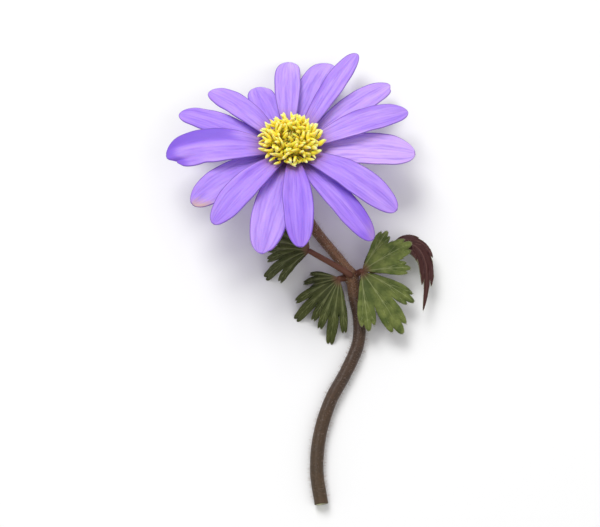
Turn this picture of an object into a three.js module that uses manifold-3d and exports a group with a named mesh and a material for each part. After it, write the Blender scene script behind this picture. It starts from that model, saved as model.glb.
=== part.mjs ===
// A windflower (anemone) as picked: one open bloom on its curved stem, with the whorl of three cut leaves
// (bracts) that sits a little below the bloom. It lies on a surface: the stem, three leaf tips and the two
// farthest petal tips touch it, and the neck of the stem bends up so that the bloom looks upwards.
// Millimetres, +Z up. The surface is z = 0, and the origin is the middle of the flower's footprint.
import * as THREE from "three";
import { mergeVertices } from "three/addons/utils/BufferGeometryUtils.js";
import Module from "manifold-3d";

const wasm = await Module();
wasm.setup();
const { degToRad, lerp } = THREE.MathUtils;
const vec = (x, y, z) => new THREE.Vector3(x, y, z);

// ---- Driving dimensions -----------------------------------------------------------------------------

const BLOOM_CENTRE = vec(-2.1, 22.3, 10); // where the petals leave the receptacle
const BLOOM_TILT = 20; // degrees that the bloom's axis leans from upright, away from the stem
const FIT_GAP = 0.3; // between neighbouring organs

const PETAL_THICKNESS = 0.68;
const FULL_REACH = 25;
const CLAW_RADIUS = 2.65; // a petal's foot starts this far from the bloom's axis
const CLAW_WIDTH = 1.5;
const PETAL_CHANNEL = 0.35; // how far a petal's edges stand above its middle

// The two whorls of petals. Each foot sits at its even place; height and arch are along the bloom's axis, and
// the arch is that of a petal of full reach.
const WHORLS = {
  outer: { firstFoot: -12.5, height: 0, arch: 2.0 },
  inner: { firstFoot: 7.9, height: 1.08, arch: 2.5 },
};
// One row a petal, going round the bloom: where its tip points (degrees), its reach from the bloom's axis,
// its greatest width, its tip's height along the axis, and how blunt its tip is if it isn't BLUNT.
const PETALS = {
  outer: [
    [1.6, 25.0, 8.0, -1.0],
    [41.2, 27.2, 5.6, 0.0],
    [72.4, 26.2, 6.7, -1.35],
    [112.5, 19.4, 5.8, -0.9],
    [155.0, 25.2, 5.4, -0.5],
    [212.0, 23.0, 7.2, -1.0],
    [256.4, 24.5, 7.4, -1.5],
    [307.0, 26.3, 5.4, -1.0],
  ],
  inner: [
    [23.3, 25.8, 6.0, 0.8],
    [59.8, 27.0, 4.6, 3.6, 2.0],
    [91.3, 25.3, 5.4, -1.25],
    [137.5, 22.7, 5.2, 1.0],
    [182.0, 25.0, 8.6, 0.4, 3.6],
    [230.2, 23.6, 6.0, 0.5],
    [274.6, 23.6, 6.0, 0.3],
    [324.0, 25.5, 6.6, 0.5],
  ],
};

// The receptacle: the button at the stem's top that carries the petals, stamens and carpels.
const KNOB_TOP = 2.6;
const KNOB_RADIUS = 1.25;
const BUTTON_TOP = 1.6;
const BUTTON_RADIUS = 2.3;

const PEDICEL_RADIUS = 1.05; // the stem between the bloom and the leaves
const SCAPE_RADIUS = 1.25; // the stem below the leaves
const SCAPE_SWELL = 0.1; // how much thicker it is at its cut end
const WHORL_RADIUS = 1.55; // the swelling where the leaves join
const WHORL = vec(10.0, -1.3, 1.9); // its place on the stem
const STEM_HEADING = -72; // degrees, of the stem below the whorl
const LYING = 1.1; // height of the stem's middle where it lies, pressed flat underneath
// The stem's route below the neck: down to the whorl, then along the surface to the cut end.
const PEDICEL_ROUTE = [vec(-1.6, 17.8, 5.0), vec(1.7, 9.8, 3.3)];
const SCAPE_ROUTE = [
  vec(10.6, -5.0, 1.5),
  vec(11.6, -10.0, 1.2),
  vec(11.3, -15.0, LYING),
  vec(9.0, -20.5, LYING),
  vec(5.8, -26.5, LYING),
  vec(3.6, -33.5, LYING),
  vec(3.0, -40.5, LYING),
  vec(3.9, -47.0, LYING),
];

// Stamens, from the outside in: how many, and the place of their anthers round the bloom's axis.
const STAMEN_RINGS = [
  { count: 22, radius: 5.7, height: 3.9 },
  { count: 19, radius: 4.4, height: 5.2 },
  { count: 15, radius: 2.9, height: 6.2 },
];
const ANTHER_LENGTH = 1.7;
const ANTHER_RADIUS = 0.46;
const FILAMENT_RADIUS = 0.2;

const CARPELS = 26;
const CARPEL_LENGTH = 1.2;
const CARPEL_RADIUS = 0.36;
const GOLDEN_ANGLE = 137.508; // degrees from one carpel to the next
const CARPEL_HEAD_RADIUS = 1.6;
const CARPEL_HEAD_HEIGHT = 2.5;

const LEAF_THICKNESS = 0.68;
const PETIOLE_RADIUS = 0.62;
const KNOT_RADIUS = 0.78; // where a leaf's leaflets meet at the end of its stalk
// The three leaves. side turns a leaf's root about the stem, from its right-hand side up; all points are
// millimetres from the middle of the whorl. The leaflets follow one another anticlockwise. Each has its midrib
// as the three points that pull it on from the knot to its tip, the half-angle of its fan, the teeth on each
// of its lobes and how deep the clefts between the lobes reach (share of its length left). The curled leaflet
// starts under the others, rolls over by that many degrees between two shares of its length, so that its
// underside shows, and hangs down beside them. Its half-width is where it is widest, and its scallops are
// those along each side.
const BRACTS = [
  {
    name: "leaf_right",
    side: 38,
    knot: [2.0, 0.3, 2.9],
    leaflets: [
      { rib: [[4.2, -3.0, 4.0], [7.2, -7.6, 3.4], [10.2, -12.2, 1.6]], spread: 37, teeth: 3, cleft: 0.55 },
      { rib: [[5.4, 2.3, 4.4], [8.8, 4.4, 4.2], [12.2, 6.4, 2.6]], spread: 38, teeth: 3, cleft: 0.76 },
    ],
    curled: {
      rib: [[8.0, 9.0, -0.4], [18.2, 10.4, 3.0], [14.2, -7.6, 1.6]],
      halfWidth: 2.3,
      scallops: 5,
      roll: 165,
      rollsFrom: 0.05,
      rollsTo: 0.5,
    },
  },
  {
    name: "leaf_left",
    side: 158,
    knot: [-2.4, -0.9, 1.9],
    leaflets: [
      { rib: [[-4.9, -1.0, 3.2], [-7.4, -1.0, 2.4], [-9.8, -1.0, -1.6]], spread: 16.5, teeth: 2, cleft: 0.6 },
      { rib: [[-5.1, -3.2, 3.0], [-8.3, -6.0, 2.0], [-11.4, -8.8, -2.2]], spread: 20, teeth: 2, cleft: 0.52 },
      { rib: [[-2.9, -5.0, 3.0], [-3.6, -9.4, 2.0], [-4.4, -13.8, -2.2]], spread: 18, teeth: 2, cleft: 0.52 },
    ],
  },
  {
    name: "leaf_back",
    side: 98,
    knot: [-8.4, 4.4, 3.4],
    leaflets: [
      { rib: [[-9.9, 7.1, 4.6], [-11.4, 9.4, 3.8], [-13.2, 11.6, 1.0]], spread: 18.5, teeth: 2, cleft: 0.56 },
      { rib: [[-11.4, 5.4, 5.0], [-14.8, 6.6, 4.0], [-17.8, 7.6, -0.2]], spread: 18.5, teeth: 2, cleft: 0.56 },
      { rib: [[-11.2, 3.3, 5.0], [-14.8, 1.8, 3.4], [-17.6, 0.0, -2.8]], spread: 20, teeth: 2, cleft: 0.56 },
    ],
  },
];
const LEAF_FOOT = 0.45; // a leaf's blade starts this far from its knot
const LEAFLET_NOTCH = 0.24; // the blade left between two leaflets, as a share of their length
const LEAFLET_DROOP = 0.022; // how fast a leaflet's sides fall away from its midrib
// A leaflet's three lobes: [middle of the lobe, half its width] in shares of the fan's half-angle, and length.
const LOBES = [
  [-0.68, 0.32, 0.84],
  [0, 0.36, 1.0],
  [0.68, 0.32, 0.84],
];
const LOBE_FALL = 0.24; // how much shorter a lobe is at its sides than in its middle
const TOOTH_FALL = 0.035; // and a round tooth
const TOOTH_NOTCH = 0.13; // between two teeth

// ---- Materials --------------------------------------------------------------------------------------

const finish = (color, roughness) => new THREE.MeshStandardMaterial({ color, roughness, metalness: 0 });
const violet = finish(0xa47ee8, 0.55);
const yellow = finish(0xead84a, 0.7);
const yellowGreen = finish(0xb4b840, 0.7);
const redBrown = finish(0x7a4030, 0.55);
const leafGreen = finish(0x4c6a34, 0.5);

// ---- Shape helpers ----------------------------------------------------------------------------------

/** A geometry with only merged positions and no empty triangles, so that it is one closed surface. */
function closed(geometry) {
  const bare = geometry.clone();
  bare.deleteAttribute("normal");
  bare.deleteAttribute("uv");
  const merged = mergeVertices(bare, 1e-4);
  const corners = Array.from(merged.index.array);
  const triangles = Array.from({ length: corners.length / 3 }, (_, n) => corners.slice(3 * n, 3 * n + 3));
  return merged.setIndex(triangles.filter((triangle) => new Set(triangle).size === 3).flat());
}

/** A closed geometry as a solid for boolean joins. */
function solid(geometry) {
  const merged = closed(geometry);
  const vertProperties = merged.attributes.position.array;
  return new wasm.Manifold(
    new wasm.Mesh({ numProp: 3, vertProperties, triVerts: new Uint32Array(merged.index.array) }),
  );
}

/** Several overlapping geometries joined into one body, without the crumbs that thin crossings leave. */
function fused(geometries) {
  const whole = geometries.map(solid).reduce((sum, part) => sum.add(part));
  const bodies = whole.decompose().sort((one, other) => other.volume() - one.volume());
  const { vertProperties, triVerts } = bodies[0].getMesh();
  return new THREE.BufferGeometry()
    .setAttribute("position", new THREE.BufferAttribute(vertProperties, 3))
    .setIndex(new THREE.BufferAttribute(triVerts, 1));
}

/** A named mesh. */
function piece(name, geometry, material) {
  const mesh = new THREE.Mesh(geometry, material);
  mesh.name = name;
  return mesh;
}

/**
 * A thin blade. middle(i, j) gives its middle surface on a grid; its two faces lie half the thickness to either
 * side, along upAt(i, j) or else square to the grid, and both are split into triangles alike. Where it would
 * sink into the surface, it is lifted onto it. In rows where columns would crowd, columnAt(i, j) names the
 * column that column j runs together with.
 */
function blade(rows, columns, middle, thickness, { columnAt = (i, j) => j, upAt } = {}) {
  const grid = Array.from({ length: rows + 1 }, (_, i) =>
    Array.from({ length: columns + 1 }, (__, j) => middle(i, j)),
  );
  const clampedTo = (n, most) => Math.min(Math.max(n, 0), most);
  const step = (i, j, di, dj) =>
    grid[clampedTo(i + di, rows)][clampedTo(j + dj, columns)]
      .clone()
      .sub(grid[clampedTo(i - di, rows)][clampedTo(j - dj, columns)]);
  const squareTo = (i, j) => step(i, j, 1, 0).cross(step(i, j, 0, 1));
  const offsets = grid.map((row, i) => row.map((_, j) => (upAt ?? squareTo)(i, j).setLength(thickness / 2)));
  const points = [1, -1].flatMap((face) =>
    grid.flatMap((row, i) =>
      row.flatMap((_, j) => {
        const { x, y, z } = row[columnAt(i, j)];
        const offset = offsets[i][columnAt(i, j)];
        const lift = Math.max(0, Math.abs(offset.z) - z);
        return [x + face * offset.x, y + face * offset.y, z + face * offset.z + lift];
      }),
    ),
  );
  const across = columns + 1;
  const perFace = (rows + 1) * across;
  const at = (face, i, j) => face * perFace + i * across + j;
  const index = [];
  const quad = (a, b, c, d) => index.push(a, b, c, a, c, d);
  for (let i = 0; i < rows; i += 1) {
    for (let j = 0; j < columns; j += 1) {
      quad(at(0, i, j), at(0, i + 1, j), at(0, i + 1, j + 1), at(0, i, j + 1));
      index.push(at(1, i, j), at(1, i + 1, j + 1), at(1, i + 1, j));
      index.push(at(1, i, j), at(1, i, j + 1), at(1, i + 1, j + 1));
    }
    quad(at(1, i + 1, 0), at(0, i + 1, 0), at(0, i, 0), at(1, i, 0));
    quad(at(1, i, columns), at(0, i, columns), at(0, i + 1, columns), at(1, i + 1, columns));
  }
  for (let j = 0; j < columns; j += 1) {
    quad(at(1, 0, j), at(0, 0, j), at(0, 0, j + 1), at(1, 0, j + 1));
    quad(at(1, rows, j + 1), at(0, rows, j + 1), at(0, rows, j), at(1, rows, j));
  }
  return new THREE.BufferGeometry()
    .setAttribute("position", new THREE.Float32BufferAttribute(points, 3))
    .setIndex(index);
}

/**
 * A round rod along a curve, with a ring at each station, [distance along the curve, radius]. It is flat
 * underneath where it would sink into the surface.
 */
function rod(curve, stations, sides) {
  const length = curve.getLength();
  const steps = stations.length - 1;
  const geometry = new THREE.CylinderGeometry(1, 1, 1, sides, steps);
  const rings = stations.map(([distance, radius]) => {
    const along = Math.min(1, distance / length);
    return { centre: curve.getPointAt(along), tangent: curve.getTangentAt(along), radius };
  });
  let side = vec(1, 0, 0);
  for (const ring of rings) {
    side = side.clone().addScaledVector(ring.tangent, -side.dot(ring.tangent)).normalize();
    ring.side = side;
    ring.other = ring.tangent.clone().cross(side);
  }
  const position = geometry.attributes.position;
  for (let n = 0; n < position.count; n += 1) {
    const ring = rings[Math.round((0.5 - position.getY(n)) * steps)];
    const point = ring.centre
      .clone()
      .addScaledVector(ring.side, position.getX(n) * ring.radius)
      .addScaledVector(ring.other, position.getZ(n) * ring.radius);
    position.setXYZ(n, point.x, point.y, Math.max(0, point.z));
  }
  return closed(geometry);
}

/** A geometry whose +Y axis is turned to a direction, then moved to a place. */
function pointed(geometry, direction, place) {
  const turn = new THREE.Quaternion().setFromUnitVectors(vec(0, 1, 0), direction.clone().normalize());
  return geometry.applyQuaternion(turn).translate(place.x, place.y, place.z);
}

/** From the bloom's own frame, with its axis upright, to its place on the leaning neck. */
const toBloom = new THREE.Matrix4()
  .makeTranslation(BLOOM_CENTRE)
  .multiply(new THREE.Matrix4().makeRotationX(degToRad(-BLOOM_TILT)));

/** A point round the bloom's axis. */
const around = (degrees, radius, height) =>
  vec(radius * Math.cos(degToRad(degrees)), radius * Math.sin(degToRad(degrees)), height);

// ---- The petals -------------------------------------------------------------------------------------

const PETAL_ROWS = [0, 0.1, 0.24, 0.4, 0.56, 0.72, 0.85, 0.94, 0.985, 1];
const PETAL_COLUMNS = 4;
const WIDEST_AT = 0.62; // share of a petal's length
const BLUNT = 2.7; // the power of the curve that closes a petal's tip
const TIP_SHARE = 0.14; // width of the round tip's last row, of the greatest width

/** Half a petal's width at a share of its length: a narrow claw, widest past the middle, then a round tip. */
function petalHalfWidth(share, width, blunt) {
  if (share < WIDEST_AT) return lerp(CLAW_WIDTH, width, Math.sin((Math.PI / 2) * (share / WIDEST_AT))) / 2;
  const towardsTip = (share - WIDEST_AT) / (1 - WIDEST_AT);
  return (width / 2) * Math.max(TIP_SHARE, Math.sqrt(1 - towardsTip ** blunt));
}

/** A petal: its midrib bends from its foot to where its tip points, arches up and droops to its tip. */
function petal(name, whorl, foot, [tip, reach, width, tipHeight, blunt = BLUNT]) {
  const middle = (i, j) => {
    const share = PETAL_ROWS[i];
    const side = (2 * j) / PETAL_COLUMNS - 1;
    const heading = lerp(foot, tip, Math.sqrt(share));
    const arch = (whorl.arch * reach) / FULL_REACH;
    const spine = lerp(whorl.height, tipHeight, share ** 2) + arch * 4 * share * (1 - share);
    const channel = PETAL_CHANNEL * Math.sin(Math.PI * share) * side ** 2;
    return around(heading, lerp(CLAW_RADIUS, reach, share), spine + channel)
      .add(around(heading + 90, side * petalHalfWidth(share, width, blunt), 0))
      .applyMatrix4(toBloom);
  };
  return piece(name, blade(PETAL_ROWS.length - 1, PETAL_COLUMNS, middle, PETAL_THICKNESS), violet);
}

/** The sixteen petals, numbered anticlockwise in each whorl. */
function petals() {
  return Object.entries(PETALS).flatMap(([whorlName, rows]) =>
    rows.map((row, n) => {
      const whorl = WHORLS[whorlName];
      return petal(`petal_${whorlName}_${n + 1}`, whorl, whorl.firstFoot + (360 / rows.length) * n, row);
    }),
  );
}

// ---- The stamens and carpels ------------------------------------------------------------------------

// The ring round the knob from which the stamens grow.
const COLLAR = { inner: KNOB_RADIUS + FIT_GAP, outer: 2.45, bottom: BUTTON_TOP + FIT_GAP, top: 2.5 };

/** A small variation from -1 to 1, the same each time for the same two numbers. */
function vary(n, seed) {
  const spread = Math.sin(n * 12.9898 + seed * 78.233) * 43758.5453;
  return 2 * THREE.MathUtils.euclideanModulo(spread, 1) - 1;
}

/** The nth stamen: its filament rises from the collar, and its anther leans a little aside on the tip. */
function stamen(degrees, ring, n) {
  const root = around(degrees, (COLLAR.inner + COLLAR.outer) / 2, COLLAR.bottom + 0.3);
  const height = ring.height + 0.3 * vary(n, 3);
  const tip = around(degrees + 5 * vary(n, 1), ring.radius + 0.25 * vary(n, 2), height);
  const upwards = tip.clone().sub(root).normalize();
  const lean = upwards.clone().add(around(degrees + 90, 0.5 * vary(n, 4), 0.25));
  const length = root.distanceTo(tip);
  const filament = new THREE.CylinderGeometry(FILAMENT_RADIUS * 0.8, FILAMENT_RADIUS, length, 3, 1);
  const anther = new THREE.SphereGeometry(1, 5, 3).scale(ANTHER_RADIUS, ANTHER_LENGTH / 2, ANTHER_RADIUS);
  return [pointed(filament, upwards, root.lerp(tip, 0.5)), pointed(anther, lean, tip)];
}

/** All stamens and the collar that they grow from. */
function stamens() {
  const { inner, outer, bottom, top } = COLLAR;
  const section = [
    [inner, bottom],
    [outer, bottom],
    [outer, top],
    [inner, top],
    [inner, bottom],
  ].map(([radius, height]) => new THREE.Vector2(radius, height));
  const collar = new THREE.LatheGeometry(section, 16).rotateX(Math.PI / 2);
  const all = STAMEN_RINGS.flatMap((ring, k) =>
    Array.from({ length: ring.count }, (_, m) => stamen((360 / ring.count) * (m + 0.5 * k), ring, 100 * k + m)),
  );
  return piece("stamens", fused([collar, ...all.flat()]), yellow);
}

/** The dome of young seed vessels in the middle of the bloom, set in a spiral. */
function carpelHead() {
  const bottom = KNOB_TOP + FIT_GAP;
  /** A point of the dome's outline, at a share of the way from its top to its rim. */
  const domeAt = (share) => {
    const turn = (share * Math.PI) / 2;
    return new THREE.Vector2(CARPEL_HEAD_RADIUS * Math.sin(turn), bottom + CARPEL_HEAD_HEIGHT * Math.cos(turn));
  };
  const profile = [new THREE.Vector2(0, bottom), ...[1, 0.9, 0.65, 0.35, 0].map(domeAt)];
  const dome = new THREE.LatheGeometry(profile, 10).rotateX(Math.PI / 2);
  const carpels = Array.from({ length: CARPELS }, (_, n) => {
    const share = Math.sqrt((n + 0.5) / CARPELS) * 0.86;
    const { x: radius, y: height } = domeAt(share);
    const outwards = around(GOLDEN_ANGLE * n, share, 1.1 - 0.6 * share);
    const carpel = new THREE.SphereGeometry(1, 5, 3).scale(CARPEL_RADIUS, CARPEL_LENGTH / 2, CARPEL_RADIUS);
    return pointed(carpel, outwards, around(GOLDEN_ANGLE * n, radius, height));
  });
  return piece("carpel_head", fused([dome, ...carpels]), yellowGreen);
}

// ---- The stem ---------------------------------------------------------------------------------------

const bloomAxis = vec(0, Math.sin(degToRad(BLOOM_TILT)), Math.cos(degToRad(BLOOM_TILT)));
const onBloomAxis = (height) => BLOOM_CENTRE.clone().addScaledVector(bloomAxis, height);
// From the knob down the bloom's axis, round the neck, and on along the route.
const stemCurve = new THREE.CatmullRomCurve3(
  [...[KNOB_TOP, 0, -2.2].map(onBloomAxis), ...PEDICEL_ROUTE, WHORL, ...SCAPE_ROUTE],
  false,
  "centripetal",
);

/** The distance along the stem from its top to the point nearest a place. */
function distanceTo(place) {
  const steps = 400;
  const gaps = stemCurve.getSpacedPoints(steps).map((point) => point.distanceTo(place));
  return (gaps.indexOf(Math.min(...gaps)) / steps) * stemCurve.getLength();
}

// The receptacle's outline: [height along the bloom's axis, radius], from the knob down to the neck.
const RECEPTACLE = [
  [KNOB_TOP, KNOB_RADIUS * 0.85],
  [KNOB_TOP - 0.25, KNOB_RADIUS],
  [BUTTON_TOP, KNOB_RADIUS],
  [BUTTON_TOP - 0.15, BUTTON_RADIUS],
  [0, BUTTON_RADIUS],
  [-0.9, BUTTON_RADIUS * 0.82],
  [-1.8, 1.4],
  [-2.8, 1.12],
];

/** Evenly spaced stations of a rod after its start, [distance, radius]. */
const evenly = (count, start, end, radiusAt) =>
  Array.from({ length: count }, (_, n) => [lerp(start, end, (n + 1) / count), radiusAt((n + 1) / count)]);

/** The stem from the knob to the cut end, with the swelling where the leaves join. */
function stem() {
  const whorlAt = distanceTo(WHORL);
  const neckEnd = KNOB_TOP - RECEPTACLE.at(-1)[0];
  const swelling = [
    [whorlAt - 0.9, WHORL_RADIUS],
    [whorlAt + 0.9, WHORL_RADIUS],
    [whorlAt + 2.2, SCAPE_RADIUS],
  ];
  const stations = [
    ...RECEPTACLE.map(([height, radius]) => [KNOB_TOP - height, radius]),
    ...evenly(11, neckEnd, whorlAt - 2, () => PEDICEL_RADIUS),
    ...swelling,
    ...evenly(14, whorlAt + 2.2, stemCurve.getLength(), (share) => SCAPE_RADIUS + SCAPE_SWELL * share),
  ];
  return piece("stem", rod(stemCurve, stations, 12), redBrown);
}

// ---- The leaves -------------------------------------------------------------------------------------

const LEAF_SHARES = [0, 0.3, 0.55, 0.79, 1]; // rows of a leaf's grid, from its foot to its edge
const HEEL_ROWS = 2; // the rows near the foot, where only the columns at clefts and notches stay apart
const SCALLOP = [0.82, 0.97, 1, 0.97]; // the curled leaflet's width, from one notch to before the next
const CURLED_COLUMNS = 4;
const CURLED_END = 0.14; // the least share of its width, at its foot and tip

/** The edge of a lobe as [place across it, -1 to 1, share of its length]: round teeth on a round end. */
function lobeEdge(teeth) {
  const dome = (place) => 1 - LOBE_FALL * place ** 2;
  return Array.from({ length: teeth }, (_, k) => {
    const start = (2 * k) / teeth - 1;
    const tooth = [0.2, 0.5, 0.8].map((part) => {
      const place = start + (2 * part) / teeth;
      return [place, dome(place) - (part === 0.5 ? 0 : TOOTH_FALL)];
    });
    return k === 0 ? tooth : [[start, dome(start) - TOOTH_NOTCH], ...tooth];
  }).flat();
}

/**
 * A leaflet's edge from one side to the other, as [angle from the midrib in degrees, share of its length,
 * whether a notch or cleft is there].
 */
function leafletEdge({ spread, teeth, cleft }) {
  const edge = LOBES.flatMap(([middle, half, length], k) => [
    k === 0 ? [-spread, LEAFLET_NOTCH, true] : [(LOBES[k - 1][0] + middle) * 0.5 * spread, cleft, true],
    ...lobeEdge(teeth).map(([place, share]) => [(middle + place * half) * spread, share * length, false]),
  ]);
  return [...edge, [spread, LEAFLET_NOTCH, true]];
}

/** A leaflet's midrib, which leaves the knot towards the first of its three points. */
const midrib = (knot, points) =>
  new THREE.CubicBezierCurve3(knot, ...points.map((point) => WHORL.clone().add(vec(...point))));

/** A place on a midrib, the level direction to its left, and the one square to it and the midrib. */
function ribFrame(rib, along) {
  const forward = rib.getTangent(along);
  const left = vec(-forward.y, forward.x, 0).normalize();
  return { place: rib.getPoint(along), left, up: forward.cross(left) };
}

/**
 * A leaflet's columns: at(i) is the point of the blade at row i, bent along the midrib, and up(i) is square to
 * the blade there.
 */
function leafletColumns(knot, shape) {
  const rib = midrib(knot, shape.rib);
  const length = rib.getLength();
  return leafletEdge(shape).map(([angle, share, deep]) => {
    const frameAt = (i) => {
      const distance = lerp(LEAF_FOOT, length * share, LEAF_SHARES[i]);
      const aside = distance * Math.sin(degToRad(angle));
      return { aside, ...ribFrame(rib, (distance * Math.cos(degToRad(angle))) / length) };
    };
    return {
      at: (i) => {
        const { aside, place, left, up } = frameAt(i);
        return place.addScaledVector(left, aside).addScaledVector(up, -LEAFLET_DROOP * aside ** 2);
      },
      up: (i) => {
        const { aside, left, up } = frameAt(i);
        return up.addScaledVector(left, 2 * LEAFLET_DROOP * aside);
      },
      deep,
    };
  });
}

/**
 * The curled leaflet: a lens-shaped blade whose half-width goes with sin(pi share^1.15)^0.75. Its sides are
 * drawn in between the scallops, and it rolls over about its midrib.
 */
function curledBlade(knot, { rib: points, halfWidth, scallops, roll, rollsFrom, rollsTo }) {
  const rib = midrib(knot, points);
  const start = LEAF_FOOT / rib.getLength();
  const rows = SCALLOP.length * scallops;
  const middle = (i, j) => {
    const share = lerp(start, 1, i / rows);
    const { place, left, up } = ribFrame(rib, share);
    const lens = Math.max(CURLED_END, Math.sin(Math.PI * share ** 1.15) ** 0.75);
    const side = halfWidth * lens * SCALLOP[i % SCALLOP.length];
    const aside = lerp(-side, side, j / CURLED_COLUMNS);
    const turn = degToRad(roll) * THREE.MathUtils.smoothstep(share, rollsFrom, rollsTo);
    const droop = -LEAFLET_DROOP * aside ** 2;
    return place
      .addScaledVector(left, aside * Math.cos(turn) - droop * Math.sin(turn))
      .addScaledVector(up, aside * Math.sin(turn) + droop * Math.cos(turn));
  };
  return blade(rows, CURLED_COLUMNS, middle, LEAF_THICKNESS);
}

/**
 * The blade of a leaf's flat leaflets, which follow one another round its knot. Its thickness is taken along
 * their own up.
 */
function leafBlade(knot, leaflets) {
  const columns = leaflets.flatMap((shape) => leafletColumns(knot, shape));
  const heelColumn = columns.map(({ deep }, j) => (deep ? j : -1));
  heelColumn.forEach((own, j) => {
    if (own < 0) heelColumn[j] = heelColumn[j - 1];
  });
  const columnAt = (i, j) => (i < HEEL_ROWS ? heelColumn[j] : j);
  const middle = (i, j) => columns[j].at(i);
  const upAt = (i, j) => columns[j].up(i);
  return blade(LEAF_SHARES.length - 1, columns.length - 1, middle, LEAF_THICKNESS, { columnAt, upAt });
}

/** A whole leaf: its stalk from the stem, the knot at the stalk's end, and its blades. */
function bract({ name, side, knot, leaflets, curled }) {
  const centre = WHORL.clone().add(vec(...knot));
  const outwards = around(STEM_HEADING + 90, Math.cos(degToRad(side)), Math.sin(degToRad(side)));
  const root = WHORL.clone().addScaledVector(outwards, WHORL_RADIUS + FIT_GAP + 0.1);
  const path = new THREE.QuadraticBezierCurve3(root, root.clone().addScaledVector(outwards, 1.2), centre);
  const section = new THREE.Shape().absarc(0, 0, PETIOLE_RADIUS, 0, 2 * Math.PI);
  const stalk = new THREE.ExtrudeGeometry(section, {
    steps: 4,
    curveSegments: 7,
    bevelEnabled: false,
    extrudePath: path,
  });
  const knob = pointed(new THREE.SphereGeometry(KNOT_RADIUS, 7, 5), outwards, centre);
  const blades = [leafBlade(centre, leaflets), ...(curled ? [curledBlade(centre, curled)] : [])];
  return piece(name, fused([stalk, knob, ...blades]), leafGreen);
}

// ---- The flower -------------------------------------------------------------------------------------

const heart = new THREE.Group();
heart.applyMatrix4(toBloom);
heart.add(stamens(), carpelHead());

const flower = new THREE.Group();
flower.add(...petals(), heart, stem(), ...BRACTS.map(bract));

// The origin is the middle of the footprint.
const middleOf = new THREE.Box3().setFromObject(flower).getCenter(vec(0, 0, 0));
flower.position.set(-middleOf.x, -middleOf.y, 0);

export default flower;
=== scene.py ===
"""A windflower as picked, lying on a pale surface: the fine, coloured flower around its plain solids.

The flower has sixteen narrow violet petals in two whorls, a boss of yellow stamens round a dome of young seed
vessels, a downy red-brown stem and a whorl of three cut leaves. Sizes are in millimetres, in the frame in
which the flower was drawn. MeshMaker shifts them to the middle of its footprint and turns them into metres.
"""

import logging
import math
from collections.abc import Callable
from dataclasses import dataclass, field
from enum import Enum
from functools import partial

import bpy
import numpy as np
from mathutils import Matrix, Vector
from numpy.typing import NDArray


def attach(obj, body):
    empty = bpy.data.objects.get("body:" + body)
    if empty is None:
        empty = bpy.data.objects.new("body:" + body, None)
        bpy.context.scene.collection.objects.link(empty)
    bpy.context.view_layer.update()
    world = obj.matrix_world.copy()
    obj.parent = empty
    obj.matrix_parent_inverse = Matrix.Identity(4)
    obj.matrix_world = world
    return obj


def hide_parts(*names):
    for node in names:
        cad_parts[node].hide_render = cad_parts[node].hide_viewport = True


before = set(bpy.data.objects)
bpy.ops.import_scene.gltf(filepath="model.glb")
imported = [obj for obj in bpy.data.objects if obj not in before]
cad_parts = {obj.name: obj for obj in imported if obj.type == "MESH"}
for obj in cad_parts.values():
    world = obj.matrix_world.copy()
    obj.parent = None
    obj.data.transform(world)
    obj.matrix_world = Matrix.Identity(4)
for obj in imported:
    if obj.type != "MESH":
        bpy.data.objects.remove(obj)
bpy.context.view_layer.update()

Array = NDArray[np.float64]
Faces = list[NDArray[np.int64]]
Shell = tuple[Array, Faces]  # a closed shape's points and faces
Pair = tuple[float, float]  # two related numbers, such as a range's least and most
Triple = tuple[float, float, float]
Colour = tuple[float, float, float]
Node = bpy.types.Node
Socket = bpy.types.NodeSocket
Tree = bpy.types.NodeTree
Material = bpy.types.Material
log = logging.getLogger("windflower")

MM = 0.001
BODY = "root"
DRAWING_SHIFT = np.array([0.3042, 0.6283, 0.0])  # from the drawing's origin to the middle of the footprint
SURFACE_GAP = 0.02  # a blade or a leaf's stalk comes no nearer to the surface
SIDEWAYS = np.array([1.0, 0.0, 0.0])
SPLINE_SAMPLES = 4000  # on a curve before it is resampled


# ---- Numbers on grids ---------------------------------------------------------------------------------


def lerp(a: Array | float, b: Array | float, t: Array | float) -> Array:
    """Straight blend: a + (b - a) t."""
    return np.asarray(a + (np.asarray(b) - a) * t)


def smooth(x: Array | float, low: float, high: float) -> Array:
    """Soft step from 0 at low to 1 at high: 3t^2 - 2t^3."""
    t = np.clip((np.asarray(x, float) - low) / (high - low), 0, 1)
    return t * t * (3 - 2 * t)


def hum(x: Array, seed: float) -> Array:
    """A smooth, repeatable unevenness from about -1 to 1: three sines of unrelated pitch."""
    return (np.sin(x + seed) + np.sin(2.13 * x + 1.7 * seed + 1) + np.sin(3.71 * x + 2.9 * seed + 4)) / 2.4


def circle(sides: int) -> Array:
    """Even turns round a full circle, in radians."""
    return np.linspace(0, 2 * np.pi, sides, endpoint=False)


def unit(vectors: Array) -> Array:
    """Vectors of length 1 with the same directions."""
    return vectors / np.maximum(np.linalg.norm(vectors, axis=-1, keepdims=True), 1e-12)


def stretches(line: Array) -> Array:
    """The distances between a line's points."""
    return np.linalg.norm(np.diff(line, axis=0), axis=1)


def read_off(wanted: Array, known: Array, values: Array) -> Array:
    """Rows of values at the wanted places, straight between the rows at the known ones."""
    return np.stack([np.interp(wanted, known, column) for column in values.T], axis=1)


def around(degrees: Array | float, radius: Array | float, height: Array | float) -> Array:
    """Points round the upright axis: (radius cos, radius sin, height).

    Args:
        degrees: turn from +X, anticlockwise.
        radius: distance from the axis.
        height: height along it.

    Returns:
        The points, with their coordinates in the last axis.
    """
    turn = np.radians(degrees)
    x, y, z = np.broadcast_arrays(radius * np.cos(turn), radius * np.sin(turn), height)
    return np.stack([x, y, z], axis=-1).astype(float)


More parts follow.
